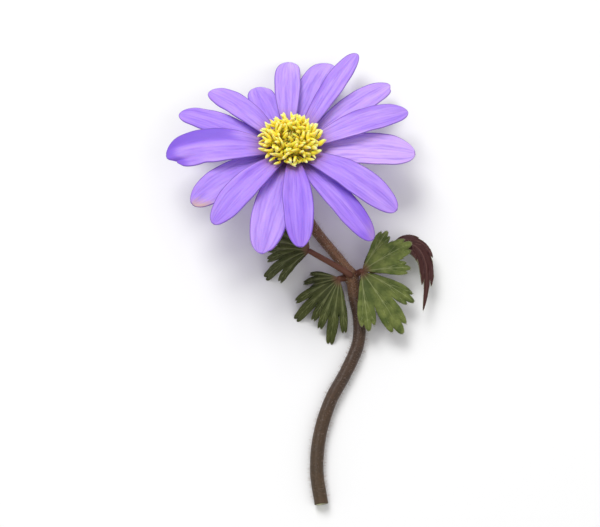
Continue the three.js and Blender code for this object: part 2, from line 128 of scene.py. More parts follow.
def bezier(points: Array, t: Array) -> tuple[Array, Array]:
    """A Bezier curve by its Bernstein sums.

    Args:
        points: its three or four control points.
        t: places along it, 0 to 1.

    Returns:
        Points on the curve and its unit tangents.
    """
    t = np.clip(np.asarray(t, float), 0, 1)[..., None]
    degree = len(points) - 1

    def bernstein(control: Array, n: int) -> Array:
        """Sum of C(n, k) t^k (1 - t)^(n - k) times the kth control point."""
        terms = [math.comb(n, k) * t**k * (1 - t) ** (n - k) * control[k] for k in range(n + 1)]
        return np.sum(terms, axis=0)

    return bernstein(points, degree), unit(bernstein(np.diff(points, axis=0), degree - 1))


def spline(points: Array, count: int) -> Array:
    """A centripetal Catmull-Rom curve through points, resampled to even distances.

    Between two points it is the cubic
    x1 + t1 w + (3 x2 - 3 x1 - 2 t1 - t2) w^2 + (2 x1 - 2 x2 + t1 + t2) w^3,
    whose end slopes t1 and t2 divide each stretch by the square root of its length.

    Args:
        points: the points that it passes.
        count: how many points to return.

    Returns:
        The resampled points.
    """
    padded = np.vstack([2 * points[0] - points[1], points, 2 * points[-1] - points[-2]])
    u = np.linspace(0, len(points) - 1 - 1e-9, SPLINE_SAMPLES)
    start, w = np.floor(u).astype(int), (u - np.floor(u))[:, None]
    x0, x1, x2, x3 = (padded[start + k] for k in range(4))
    d0, d1, d2 = (np.sqrt(np.linalg.norm(b - a, axis=1))[:, None] for a, b in ((x0, x1), (x1, x2), (x2, x3)))
    t1 = ((x1 - x0) / d0 - (x2 - x0) / (d0 + d1) + (x2 - x1) / d1) * d1
    t2 = ((x2 - x1) / d1 - (x3 - x1) / (d1 + d2) + (x3 - x2) / d2) * d1
    dense = x1 + t1 * w + (3 * x2 - 3 * x1 - 2 * t1 - t2) * w**2 + (2 * x1 - 2 * x2 + t1 + t2) * w**3
    run = np.concatenate([[0], np.cumsum(stretches(dense))])
    return read_off(np.linspace(0, run[-1], count), run, dense)


def frames_along(line: Array, reference: Array) -> tuple[Array, Array, Array]:
    """Three directions square to each other at each point of a line.

    Args:
        line: its points.
        reference: a direction that the line never takes.

    Returns:
        The unit tangent, the part of the reference square to it, and the cross product of the two.
    """
    tangent = unit(np.gradient(line, axis=0))
    side = unit(reference - (tangent @ reference)[:, None] * tangent)
    return tangent, side, np.cross(tangent, side)


# ---- Closed shapes ------------------------------------------------------------------------------------


def quads_between(rows: int, columns: int, wrap: bool = False, closed: bool = False) -> NDArray[np.int64]:
    """The quads of a grid of points that is numbered row by row.

    Args:
        rows: how many rows of points.
        columns: how many points in each row.
        wrap: whether the last column joins the first.
        closed: whether the last row joins the first.

    Returns:
        One row of four point numbers for each quad.
    """
    starts = np.arange(rows if closed else rows - 1), np.arange(columns if wrap else columns - 1)
    i, j = np.meshgrid(*starts, indexing="ij")
    below, after = (i + 1) % rows, (j + 1) % columns
    corners = [i * columns + j, below * columns + j, below * columns + after, i * columns + after]
    return np.stack(corners, -1).reshape(-1, 4)


def tube_shell(
    centres: Array, radii: Array, sides: int, ridges: Array | float = 1.0, reference: Array = SIDEWAYS
) -> Shell:
    """A closed tube: circles of the radii, square to the path, joined in turn, with a pole point at each end.

    Args:
        centres: the path's points.
        radii: the tube's radius at each of them.
        sides: points in a circle.
        ridges: factors on the radius at the circles' points.
        reference: a direction that the path never takes, from which the circles are turned.

    Returns:
        The points, ring by ring and then the two poles, and the faces.
    """
    _, side, other = frames_along(centres, reference)
    turn = circle(sides)[None, :, None]
    reach = radii[:, None] * np.broadcast_to(ridges, (len(radii), sides))
    outwards = np.cos(turn) * side[:, None] + np.sin(turn) * other[:, None]
    rings = centres[:, None] + reach[..., None] * outwards
    pole = len(centres) * sides
    j = np.arange(sides)
    after, last = (j + 1) % sides, pole - sides
    walls = quads_between(len(centres), sides, wrap=True)[:, ::-1]
    start_cap = np.stack([np.full(sides, pole), after, j], -1)
    end_cap = np.stack([np.full(sides, pole + 1), last + j, last + after], -1)
    points = np.concatenate([rings.reshape(-1, 3), centres[:1], centres[-1:]])
    return points, [walls, start_cap, end_cap]


def spindle(profile: Callable[[Array], Array], sides: int, rings: int, lobes: float = 0.0) -> Shell:
    """A small closed body of unit length about +Z: radius profile(t), times 1 + lobes cos of twice the turn.

    Args:
        profile: radius for each share of the length.
        sides: points in a ring.
        rings: how many rings between the poles.
        lobes: how much wider it is on two opposite sides.

    Returns:
        The points and faces.
    """
    t = np.linspace(0, 1, rings + 2)[1:-1]
    centres = np.stack([0 * t, 0 * t, t], 1)
    points, faces = tube_shell(centres, profile(t), sides, 1 + lobes * np.cos(2 * circle(sides)))
    points[-2:] = (0, 0, 0), (0, 0, 1)
    return points, faces


def swarm(
    shape: Shell, places: Array, upwards: Array, sizes: tuple[Array | float, ...], turns: Array
) -> Shell:
    """Many copies of a small shape, each scaled, turned about its axis, pointed along a direction and placed.

    Args:
        shape: the small shape, with +Z as its axis.
        places: where each copy's origin goes.
        upwards: each copy's axis.
        sizes: each copy's scale along its own x, y and z.
        turns: each copy's turn about its axis, in radians.

    Returns:
        All points and all faces.
    """
    points, faces = shape
    axis = unit(upwards)
    helper = np.where(np.abs(axis[:, 2:]) > 0.9, [[1.0, 0.0, 0.0]], [[0.0, 0.0, 1.0]])
    first = unit(np.cross(helper, axis))
    across = np.cos(turns)[:, None] * first + np.sin(turns)[:, None] * np.cross(axis, first)
    frames = np.stack([across, np.cross(axis, across), axis], axis=1)
    scaled = points[None] * np.stack(np.broadcast_arrays(*sizes), axis=1)[:, None]
    copies = places[:, None] + np.einsum("npk,nkd->npd", scaled, frames)
    starts = (np.arange(len(places)) * len(points))[:, None, None]
    return copies.reshape(-1, 3), [(block[None] + starts).reshape(-1, block.shape[1]) for block in faces]


HAIR = spindle(lambda t: 1 - 0.75 * t, 3, 2)  # a tapering hair of unit length and radius


@dataclass
class MeshMaker:
    """Collects points and faces of one piece, then makes the object.

    Attributes:
        name: the piece's name.
        points: blocks of points in drawing millimetres.
        faces: blocks of faces, as rows of point numbers.
        values: named numbers at the points, one block for each block of points.
    """

    name: str
    points: list[Array] = field(default_factory=list)
    faces: Faces = field(default_factory=list)
    values: dict[str, list[Array]] = field(default_factory=dict)

    def add(self, points: Array, faces: Faces, **values: Array | float) -> None:
        """Adds a closed shape.

        Args:
            points: its points, one row each.
            faces: blocks of triangles or quads, numbered from 0 within the shape.
            values: numbers at the points, by name; a name that is left out counts as 0.
        """
        before = [len(block) for block in self.points]
        self.points.append(points)
        self.faces.extend(block + sum(before) for block in faces)
        for name in self.values | values:
            blocks = self.values.setdefault(name, [np.zeros(count) for count in before])
            value = np.asarray(values.get(name, 0.0), float).ravel()
            blocks.append(np.broadcast_to(value, len(points)).copy())

    def add_blade(self, grid: Array, thickness: Array, **values: Array | float) -> None:
        """Adds a closed thin blade, whose value "under" is 1 on its lower face.

        Each face lies half the thickness off the grid along its normal, the cross product of its two central
        differences, and a strip of quads joins the rims. A place too near the surface is lifted off it.

        Args:
            grid: the blade's middle surface, rows by columns by 3.
            thickness: its thickness at each point of the grid.
            values: numbers at the grid's points, by name, the same on both faces.
        """
        shape = grid.shape[:2]
        number = np.arange(math.prod(shape)).reshape(shape)
        normals = unit(np.cross(np.gradient(grid, axis=0), np.gradient(grid, axis=1)))
        offset = normals * thickness[..., None] / 2
        raised = grid.copy()
        raised[..., 2] += np.maximum(0, np.abs(offset[..., 2]) + SURFACE_GAP - grid[..., 2])
        points = np.concatenate([(raised + offset).reshape(-1, 3), (raised - offset).reshape(-1, 3)])
        top = quads_between(*shape)
        rim = np.concatenate([number[:, 0], number[-1, 1:], number[::-1, -1][1:], number[0, ::-1][1:-1]])
        after = np.roll(rim, -1)
        strip = np.stack([rim, rim + number.size, after + number.size, after], -1)
        both = {name: np.tile(np.broadcast_to(value, shape).ravel(), 2) for name, value in values.items()}
        under = np.repeat([0.0, 1.0], number.size)
        self.add(points, [top, top[:, ::-1] + number.size, strip], under=under, **both)

    def make(self, replaced: str, slot: str, material: Material) -> bpy.types.Object:
        """Makes the piece, dresses it and hangs it on the flower's body.

        Args:
            replaced: the solid that it stands for.
            slot: the record's material slot; not used.
            material: its finish.

        Returns:
            The new object.
        """
        points = (np.vstack(self.points) + DRAWING_SHIFT) * MM
        sizes = np.concatenate([np.full(len(block), block.shape[1]) for block in self.faces])
        corners = np.concatenate([block.ravel() for block in self.faces])
        mesh = bpy.data.meshes.new(self.name)
        mesh.vertices.add(len(points))
        mesh.vertices.foreach_set("co", points.astype(np.float32).ravel())
        mesh.loops.add(len(corners))
        mesh.loops.foreach_set("vertex_index", corners.astype(np.int32))
        mesh.polygons.add(len(sizes))
        starts = np.concatenate([[0], np.cumsum(sizes)[:-1]])
        mesh.polygons.foreach_set("loop_start", starts.astype(np.int32))
        for name, blocks in self.values.items():
            attribute = mesh.attributes.new(name, "FLOAT", "POINT")
            attribute.data.foreach_set("value", np.concatenate(blocks).astype(np.float32))
        mesh.update(calc_edges=True)
        mesh.validate()
        mesh.shade_smooth()
        mesh.materials.append(material)
        piece = bpy.data.objects.new(self.name, mesh)
        bpy.context.scene.collection.objects.link(piece)
        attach(piece, BODY)
        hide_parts(replaced)
        log.info("%s: %d points, %d faces, stands for %s", self.name, len(points), len(sizes), replaced)
        return piece


# ---- Shader building ----------------------------------------------------------------------------------


@dataclass
class Sheet:
    """A node tree under construction, with a short method for each kind of node that the finishes use.

    Attributes:
        tree: a material's or a group's node tree.
    """

    tree: Tree

    def feed(self, socket: Socket, value: object) -> None:
        """Joins an input to another node's output, or sets it to a plain value, a colour with an alpha of 1.

        Args:
            socket: the input.
            value: an output socket, a number or a colour.
        """
        if isinstance(value, Socket):
            self.tree.links.new(value, socket)
        else:
            socket.default_value = (*value, 1.0) if socket.type == "RGBA" else value

    def node(self, kind: str, inputs: dict[str | int, object] | None = None, **settings: object) -> Node:
        """A new node.

        Args:
            kind: its Blender type name.
            inputs: what its inputs are fed, by name or place.
            settings: its own settings.

        Returns:
            The node.
        """
        made = self.tree.nodes.new(kind)
        for name, value in settings.items():
            setattr(made, name, value)
        for name, value in (inputs or {}).items():
            self.feed(made.inputs[name], value)
        return made

    def value(self, name: str) -> Socket:
        """The piece's own number of that name."""
        return self.node("ShaderNodeAttribute", attribute_name=name).outputs["Fac"]

    def place(self) -> Socket:
        """The place on the piece, in metres."""
        return self.node("ShaderNodeTexCoord").outputs["Object"]

    def point(self, x: object, y: object, z: object) -> Socket:
        """A place with those three coordinates."""
        return self.node("ShaderNodeCombineXYZ", {"X": x, "Y": y, "Z": z}).outputs[0]

    def noise(self, place: Socket, scale: object, detail: float) -> Socket:
        """Soft noise from 0 to 1."""
        inputs = {"Vector": place, "Scale": scale, "Detail": detail}
        return self.node("ShaderNodeTexNoise", inputs).outputs["Fac"]

    def math(self, operation: str, *terms: object, clamp: bool = False) -> Socket:
        """A sum, product or other operation on numbers."""
        inputs = dict(enumerate(terms))
        return self.node("ShaderNodeMath", inputs, operation=operation, use_clamp=clamp).outputs[0]

    def times(self, value: object, factor: object) -> Socket:
        """A product of two numbers."""
        return self.math("MULTIPLY", value, factor)

    def ramp(self, value: object, low: float, high: float, to_low: float, to_high: float) -> Socket:
        """Soft step of a number from to_low at low to to_high at high."""
        inputs = {"Value": value, "From Min": low, "From Max": high, "To Min": to_low, "To Max": to_high}
        return self.node("ShaderNodeMapRange", inputs, interpolation_type="SMOOTHSTEP").outputs["Result"]

    def effect(self, group: Tree, **inputs: object) -> Socket:
        """A shared effect's output; its inputs are given by name, with underscores for spaces."""
        named = {name.replace("_", " "): value for name, value in inputs.items()}
        return self.node("ShaderNodeGroup", named, node_tree=group).outputs[0]

    def layers(self, base: object, *coats: tuple[object, object]) -> Socket:
        """A colour with coats laid over it in turn.

        Args:
            base: the colour underneath.
            coats: how much each coat covers, 0 to 1, and its colour.

        Returns:
            The colour of all the layers.
        """
        for cover, coat in coats:
            mix = self.node("ShaderNodeMix", {0: cover, 6: base, 7: coat}, data_type="RGBA")
            base = mix.outputs[2]
        return base

    def dress(
        self, shader: Node, colour: Socket, height: Socket, strength: float, depth: float,
        pattern: Socket, roughness: Pair,
    ) -> None:
        """Feeds a shader its colour, a bump, and a roughness that steps softly as a pattern does.

        Args:
            shader: the Principled shader.
            colour: its colour.
            height: the bump's height, 0 to 1.
            strength: how strongly the bump shows.
            depth: how deep it is, in mm.
            pattern: what the roughness follows.
            roughness: where the pattern is low, and where it is high.
        """
        bump = self.node("ShaderNodeBump", {"Strength": strength, "Distance": depth * MM, "Height": height})
        self.feed(shader.inputs["Base Color"], colour)
        self.feed(shader.inputs["Normal"], bump.outputs[0])
        self.feed(shader.inputs["Roughness"], self.ramp(pattern, 0.2, 0.8, *roughness))


def new_group(name: str, output: str, **inputs: float | None) -> tuple[Sheet, dict[str, Socket], Socket]:
    """An empty node group that puts out one number.

    Args:
        name: the group's name.
        output: its output's name.
        inputs: its inputs' defaults by name, with underscores for spaces, and None for a place.

    Returns:
        Its sheet, its inputs' sockets by name, and the socket that takes the result.
    """
    tree = bpy.data.node_groups.new(name, "ShaderNodeTree")
    for key, default in inputs.items():
        kind = "NodeSocketVector" if default is None else "NodeSocketFloat"
        made = tree.interface.new_socket(key.replace("_", " "), in_out="INPUT", socket_type=kind)
        if default is not None:
            made.default_value = default
    tree.interface.new_socket(output, in_out="OUTPUT", socket_type="NodeSocketFloat")
    source = tree.nodes.new("NodeGroupInput")
    given = {key: source.outputs[key.replace("_", " ")] for key in inputs}
    return Sheet(tree), given, tree.nodes.new("NodeGroupOutput").inputs[output]


def mottle_group() -> Tree:
    """Uneven patches from 0 to 1: noise of a given size, with its contrast raised about one half.

    Returns:
        The group.
    """
    sheet, given, result = new_group("Mottle", "Patches", Vector=None, Scale=5.0, Contrast=1.0)
    away = sheet.math("SUBTRACT", sheet.noise(given["Vector"], given["Scale"], 4.0), 0.5)
    sheet.feed(result, sheet.math("ADD", sheet.times(away, given["Contrast"]), 0.5, clamp=True))
    return sheet.tree


def streak_group() -> Tree:
    """Fine lengthwise lines from 0 to 1.

    A sine of the place across, as often as Count says, is pushed aside by a long wavering noise and faded in
    and out along the length by a second one, so that the lines start and stop as veins do.

    Returns:
        The group.
    """
    sheet, given, result = new_group(
        "Streaks", "Lines", Across=0.0, Along=0.0, Seed=0.0, Count=8.0, Waver=1.0)

    def stretched(across: float, along: float, scale: float, detail: float) -> Socket:
        """Noise over the two places, each of them stretched."""
        x, y = sheet.times(given["Across"], across), sheet.times(given["Along"], along)
        return sheet.noise(sheet.point(x, y, given["Seed"]), scale, detail)

    pushed = sheet.times(sheet.math("SUBTRACT", stretched(2.2, 3.0, 1.3, 2.0), 0.5), given["Waver"])
    turn = sheet.times(sheet.math("ADD", given["Across"], pushed), sheet.times(given["Count"], math.pi))
    wave = sheet.math("MULTIPLY_ADD", sheet.math("SINE", turn), 0.5, 0.5)
    fade = sheet.ramp(stretched(7.0, 4.0, 1.0, 3.0), 0.35, 0.65, 0.15, 1.0)
    sheet.feed(result, sheet.times(wave, fade))
    return sheet.tree


def line_group() -> Tree:
    """A soft-edged line: 1 where a distance is 0, falling to 0 at the line's half-width.

    Returns:
        The group.
    """
    sheet, given, result = new_group("Soft line", "Line", Distance=0.0, Half_Width=0.1)
    share = sheet.math("DIVIDE", given["Distance"], given["Half_Width"])
    sheet.feed(result, sheet.ramp(share, 0.25, 1.0, 1.0, 0.0))
    return sheet.tree


@dataclass(frozen=True)
class Groups:
    """The shared effects, each built once."""

    mottle: Tree = field(default_factory=mottle_group)
    streaks: Tree = field(default_factory=streak_group)
    line: Tree = field(default_factory=line_group)


def new_material(name: str, **constants: float) -> tuple[Material, Sheet, Node]:
    """A material with a Principled shader.

    Args:
        name: its name.
        constants: shader inputs that are the same all over, with underscores for spaces.

    Returns:
        The material, its sheet and its shader node.
    """
    material = bpy.data.materials.new(name)
    material.use_nodes = True
    shader = material.node_tree.nodes["Principled BSDF"]
    for socket, number in constants.items():
        shader.inputs[socket.replace("_", " ")].default_value = number
    return material, Sheet(material.node_tree), shader


@dataclass(frozen=True)
class PetalFinish:
    """Lilac petal tissue with fine violet lines, a deeper rim, painted shade at the foot, paler underneath.
    """

    lilac: Colour = (0.325, 0.165, 0.80)
    pale: Colour = (0.62, 0.41, 0.90)
    violet: Colour = (0.17, 0.068, 0.60)
    rim: Colour = (0.13, 0.055, 0.40)
    # Painted shade over the petals' feet, round and under the boss.
    foot: Colour = (0.20, 0.10, 0.19)
    under: Colour = (0.50, 0.37, 0.82)
    wilted: Colour = (0.58, 0.40, 0.27)

    def material(self, groups: Groups) -> Material:
        """Builds the finish.

        Args:
            groups: the shared effects.

        Returns:
            The material.
        """
        material, sheet, shader = new_material(
            "petal_tissue", Sheen_Weight=0.1, Sheen_Roughness=0.4, Specular_IOR_Level=0.35,
            Subsurface_Weight=0.12, Subsurface_Scale=0.0006)
        across, along, seed = sheet.value("across"), sheet.value("along"), sheet.value("seed")
        streaks = partial(sheet.effect, groups.streaks, Across=across, Along=along, Seed=seed)
        mottle = partial(sheet.effect, groups.mottle, Vector=sheet.point(across, along, seed))
        fine, broad = streaks(Count=9.0, Waver=0.35), streaks(Count=2.6, Waver=0.9)
        patches, grain = mottle(Scale=1.6, Contrast=2.2), mottle(Scale=40.0, Contrast=1.0)
        edge = sheet.effect(groups.line, Distance=sheet.value("edge"), Half_Width=0.26)
        colour = sheet.layers(
            self.lilac,
            (sheet.math("ADD", sheet.times(patches, 0.55), sheet.value("tone"), clamp=True), self.pale),
            (sheet.times(broad, 0.38), self.violet),
            (sheet.times(fine, sheet.ramp(along, 0.05, 0.5, 0.36, 0.20)), self.violet),
            # Painted shade where a petal lies in shade.
            (sheet.times(sheet.value("flush"), 0.9), self.violet),
            # Painted shade at each petal's foot, next to the boss.
            (sheet.ramp(along, 0.05, 0.33, 0.9, 0.0), self.foot),
            (sheet.times(sheet.value("under"), 0.6), self.under),
            (sheet.times(sheet.value("wilt"), 0.8), self.wilted),
            (sheet.times(edge, 0.7), self.rim),
        )
        height = sheet.math("ADD", sheet.times(fine, 0.8), sheet.times(grain, 0.25))
        sheet.dress(shader, colour, height, 0.5, 0.08, grain, (0.45, 0.6))
        return material


@dataclass(frozen=True)
class LeafFinish:
    """Mid green leaf with pale veins and rim, mottled, painted shade, maroon underneath, red-brown stalk."""

    green: Colour = (0.090, 0.130, 0.026)
    light: Colour = (0.230, 0.275, 0.069)
    # Deeper green of the fine mottling, also the colour of the painted shade.
    dark_and_shade: Colour = (0.029, 0.031, 0.007)
    vein: Colour = (0.38, 0.41, 0.18)
    rim: Colour = (0.36, 0.33, 0.22)
    under: Colour = (0.055, 0.017, 0.015)
    under_vein: Colour = (0.13, 0.06, 0.05)
    stalk: Colour = (0.135, 0.055, 0.034)

    def material(self, groups: Groups) -> Material:
        """Builds the finish.

        Args:
            groups: the shared effects.

        Returns:
            The material.
        """
        material, sheet, shader = new_material("leaf_tissue", Specular_IOR_Level=0.2)
        mottle = partial(sheet.effect, groups.mottle, Vector=sheet.place())
        patches, grain = mottle(Scale=420.0, Contrast=3.6), mottle(Scale=2600.0, Contrast=1.6)
        vein = sheet.effect(groups.line, Distance=sheet.value("vein"), Half_Width=0.2)
        edge = sheet.effect(groups.line, Distance=sheet.value("edge"), Half_Width=0.16)
        shade = sheet.value("shade")
        colour = sheet.layers(
            self.green,
            (patches, self.light),
            (sheet.times(grain, 0.35), self.dark_and_shade),
            # Painted shade on leaflets that lie in shade or face away from the light, with fainter veins
            # there.
            (shade, self.dark_and_shade),
            (sheet.times(vein, sheet.ramp(shade, 0.0, 0.6, 0.5, 0.26)), self.vein),
            (sheet.value("under"), sheet.layers(self.under, (sheet.times(vein, 0.7), self.under_vein))),
            (sheet.times(edge, 0.5), self.rim),
            (sheet.value("ruddy"), self.stalk),
        )
        height = sheet.math("SUBTRACT", sheet.times(grain, 0.5), vein)
        sheet.dress(shader, colour, height, 0.6, 0.1, grain, (0.4, 0.62))
        return material


@dataclass(frozen=True)
class StemFinish:
    """Red-brown stem skin with lengthwise lines, greener near the bloom, painted shade below the leaves, pale
    cut flesh.
    """

    brown: Colour = (0.175, 0.088, 0.044)
    ruddy: Colour = (0.335, 0.175, 0.085)
    # Deeper brown of the lengthwise lines, also the colour of the painted shade below the leaves.
    dark_and_shade: Colour = (0.024, 0.013, 0.008)
    green: Colour = (0.20, 0.22, 0.07)
    flesh: Colour = (0.50, 0.52, 0.27)
    down: Colour = (0.72, 0.62, 0.56)

    def material(self, groups: Groups) -> Material:
        """Builds the finish.

        Args:
            groups: the shared effects.

        Returns:
            The material.
        """
        material, sheet, shader = new_material(
            "stem_skin", Sheen_Weight=0.12, Sheen_Roughness=0.3, Specular_IOR_Level=0.35)
        patches = sheet.effect(groups.mottle, Vector=sheet.place(), Scale=330.0, Contrast=2.4)
        along = sheet.times(sheet.value("along"), 6.0)
        lines = sheet.effect(groups.streaks, Across=sheet.value("across"), Along=along, Count=16.0, Waver=0.2)
        colour = sheet.layers(
            self.brown,
            (patches, self.ruddy),
            (sheet.times(lines, 0.62), self.dark_and_shade),
            # Painted shade below the leaves.
            (sheet.times(sheet.value("shade"), 0.84), self.dark_and_shade),
            (sheet.value("green"), self.green),
            (sheet.value("cut"), self.flesh),
            (sheet.value("down"), self.down),
        )
        sheet.dress(shader, colour, lines, 0.5, 0.1, patches, (0.42, 0.6))
        return material


@dataclass(frozen=True)
class PollenFinish:
    """Stamens or seed vessels: two tones along each, powdery, with painted shade in the gaps and at their
    feet.
    """

    name: str
    body: Colour
    tip: Colour
    # Painted shade in the gaps between the pieces and at their feet, also laid thinly in random patches.
    deep: Colour
    stalk: Colour

    def material(self, groups: Groups) -> Material:
        """Builds the finish.

        Args:
            groups: the shared effects.

        Returns:
            The material.
        """
        material, sheet, shader = new_material(
            self.name, Sheen_Weight=0.05, Subsurface_Weight=0.4, Subsurface_Scale=0.001)
        mottle = partial(sheet.effect, groups.mottle, Vector=sheet.place())
        powder, patches = mottle(Scale=3000.0, Contrast=1.8), mottle(Scale=700.0, Contrast=2.0)
        colour = sheet.layers(
            self.body,
            (sheet.times(patches, 0.12), self.deep),
            # The anthers' paler tips are partly their own colour and partly painted highlight.
            (sheet.value("tip"), self.tip),
            (sheet.value("stalk"), self.stalk),
            # Painted shade in the gaps and at the feet.
            (sheet.value("deep"), self.deep),
        )
        sheet.dress(shader, colour, powder, 0.6, 0.05, powder, (0.6, 0.8))
        return material


POLLEN = PollenFinish(
    "pollen", body=(1.0, 0.81, 0.04), tip=(1.0, 0.97, 0.52), deep=(0.72, 0.50, 0.015),
    stalk=(1.0, 0.85, 0.16))
VESSEL_SKIN = PollenFinish(
    "vessel_skin", body=(0.70, 0.62, 0.09), tip=(0.88, 0.82, 0.25), deep=(0.26, 0.24, 0.02),
    stalk=(0.5, 0.5, 0.1))


# ---- The bloom ----------------------------------------------------------------------------------------

BLOOM_CENTRE = np.array([-2.1, 22.3, 10.0])
BLOOM_TILT = math.radians(20)
GOLDEN_ANGLE = 137.508


def in_bloom(points: Array) -> Array:
    """From the bloom's own frame, axis upright, to its place on the neck: a turn about X and a shift."""
    c, s = math.cos(BLOOM_TILT), math.sin(BLOOM_TILT)
    return points @ np.array([[1, 0, 0], [0, c, -s], [0, s, c]]) + BLOOM_CENTRE


@dataclass(frozen=True)
class Notch:
    """A dent in a petal's tip.

    Attributes:
        side: where it is across the petal, from the middle.
        depth: how deep it cuts.
        spread: half its width.
        power: how steep its sides are.
    """

    side: float
    depth: float
    spread: float = 0.6
    power: float = 2.0


@dataclass(frozen=True)
class Petal:
    """One petal as drawn.

    Attributes:
        heading: where its tip points, in degrees round the bloom's axis.
        reach: its tip's distance from the axis.
        width: its greatest width.
        tip_height: its tip's height along the axis.
        tone: how much paler it is than the others.
        wilt: how brown its tip is.
        notches: dents in its tip.
        pleat: how strongly it is pleated.
        blunt: the power of its tip's curve.
        corner: how much blunter its tip is on the left side, seen from the foot.
        flush: how much painted shade deepens its left side, seen from the foot; below 0, its right side.
    """

    heading: float
    reach: float
    width: float
    tip_height: float
    tone: float = 0.0
    wilt: float = 0.0
    notches: tuple[Notch, ...] = ()
    pleat: float = 1.0
    blunt: float = 2.7
    corner: float = 0.0
    flush: float = 0.0


@dataclass(frozen=True)
class Whorl:
    """A ring of petals.

    Attributes:
        name: outer or inner.
        first_foot: where its first petal's foot points, in degrees.
        height: of the feet along the bloom's axis.
        arch: how high a petal of full reach arches.
        first_seed: its first petal's unevenness.
        petals: anticlockwise, seen from above the bloom.
    """

    name: str
    first_foot: float
    height: float
    arch: float
    first_seed: float
    petals: tuple[Petal, ...]


OUTER = Whorl("outer", -12.5, 0.0, 2.0, 0.0, (
    Petal(1.6, 25.0, 8.0, -1.0, tone=0.85, pleat=0.7),
    Petal(41.2, 27.2, 5.6, 0.0, tone=0.5, notches=(Notch(-0.9, 0.5),)),
    Petal(72.4, 26.2, 6.7, -1.35, tone=0.3),
    Petal(112.5, 19.4, 5.8, -0.9, tone=0.1),
    Petal(155.0, 25.2, 5.4, -0.5, tone=0.05),
    Petal(212.0, 23.0, 7.2, -1.0, tone=0.1, wilt=1.0),
    Petal(256.4, 24.5, 7.4, -1.5, tone=0.25, notches=(Notch(1.2, 0.4),)),
    Petal(307.0, 26.3, 5.4, -1.0, wilt=0.35, flush=0.45),
))
BITTEN = (Notch(1.75, 0.9, 0.35), Notch(4.4, 2.1, 2.7, 6.0))  # the left petal's split tip and its bite
INNER = Whorl("inner", 7.9, 1.08, 2.5, 8.0, (
    Petal(23.3, 25.8, 6.0, 0.8, tone=0.2),
    Petal(59.8, 27.0, 4.6, 3.6, tone=0.15, blunt=2.0),
    Petal(91.3, 25.3, 5.4, -1.25, tone=0.3),
    Petal(137.5, 22.7, 5.2, 1.0, tone=0.15),
    Petal(182.0, 25.0, 8.6, 0.4, tone=0.15, notches=BITTEN, blunt=3.6, corner=2.4, flush=-0.9),
    Petal(230.2, 23.6, 6.0, 0.5, tone=0.05),
    Petal(274.6, 23.6, 6.0, 0.3, tone=-0.15),
    Petal(324.0, 25.5, 6.6, 0.5, tone=0.1),
))


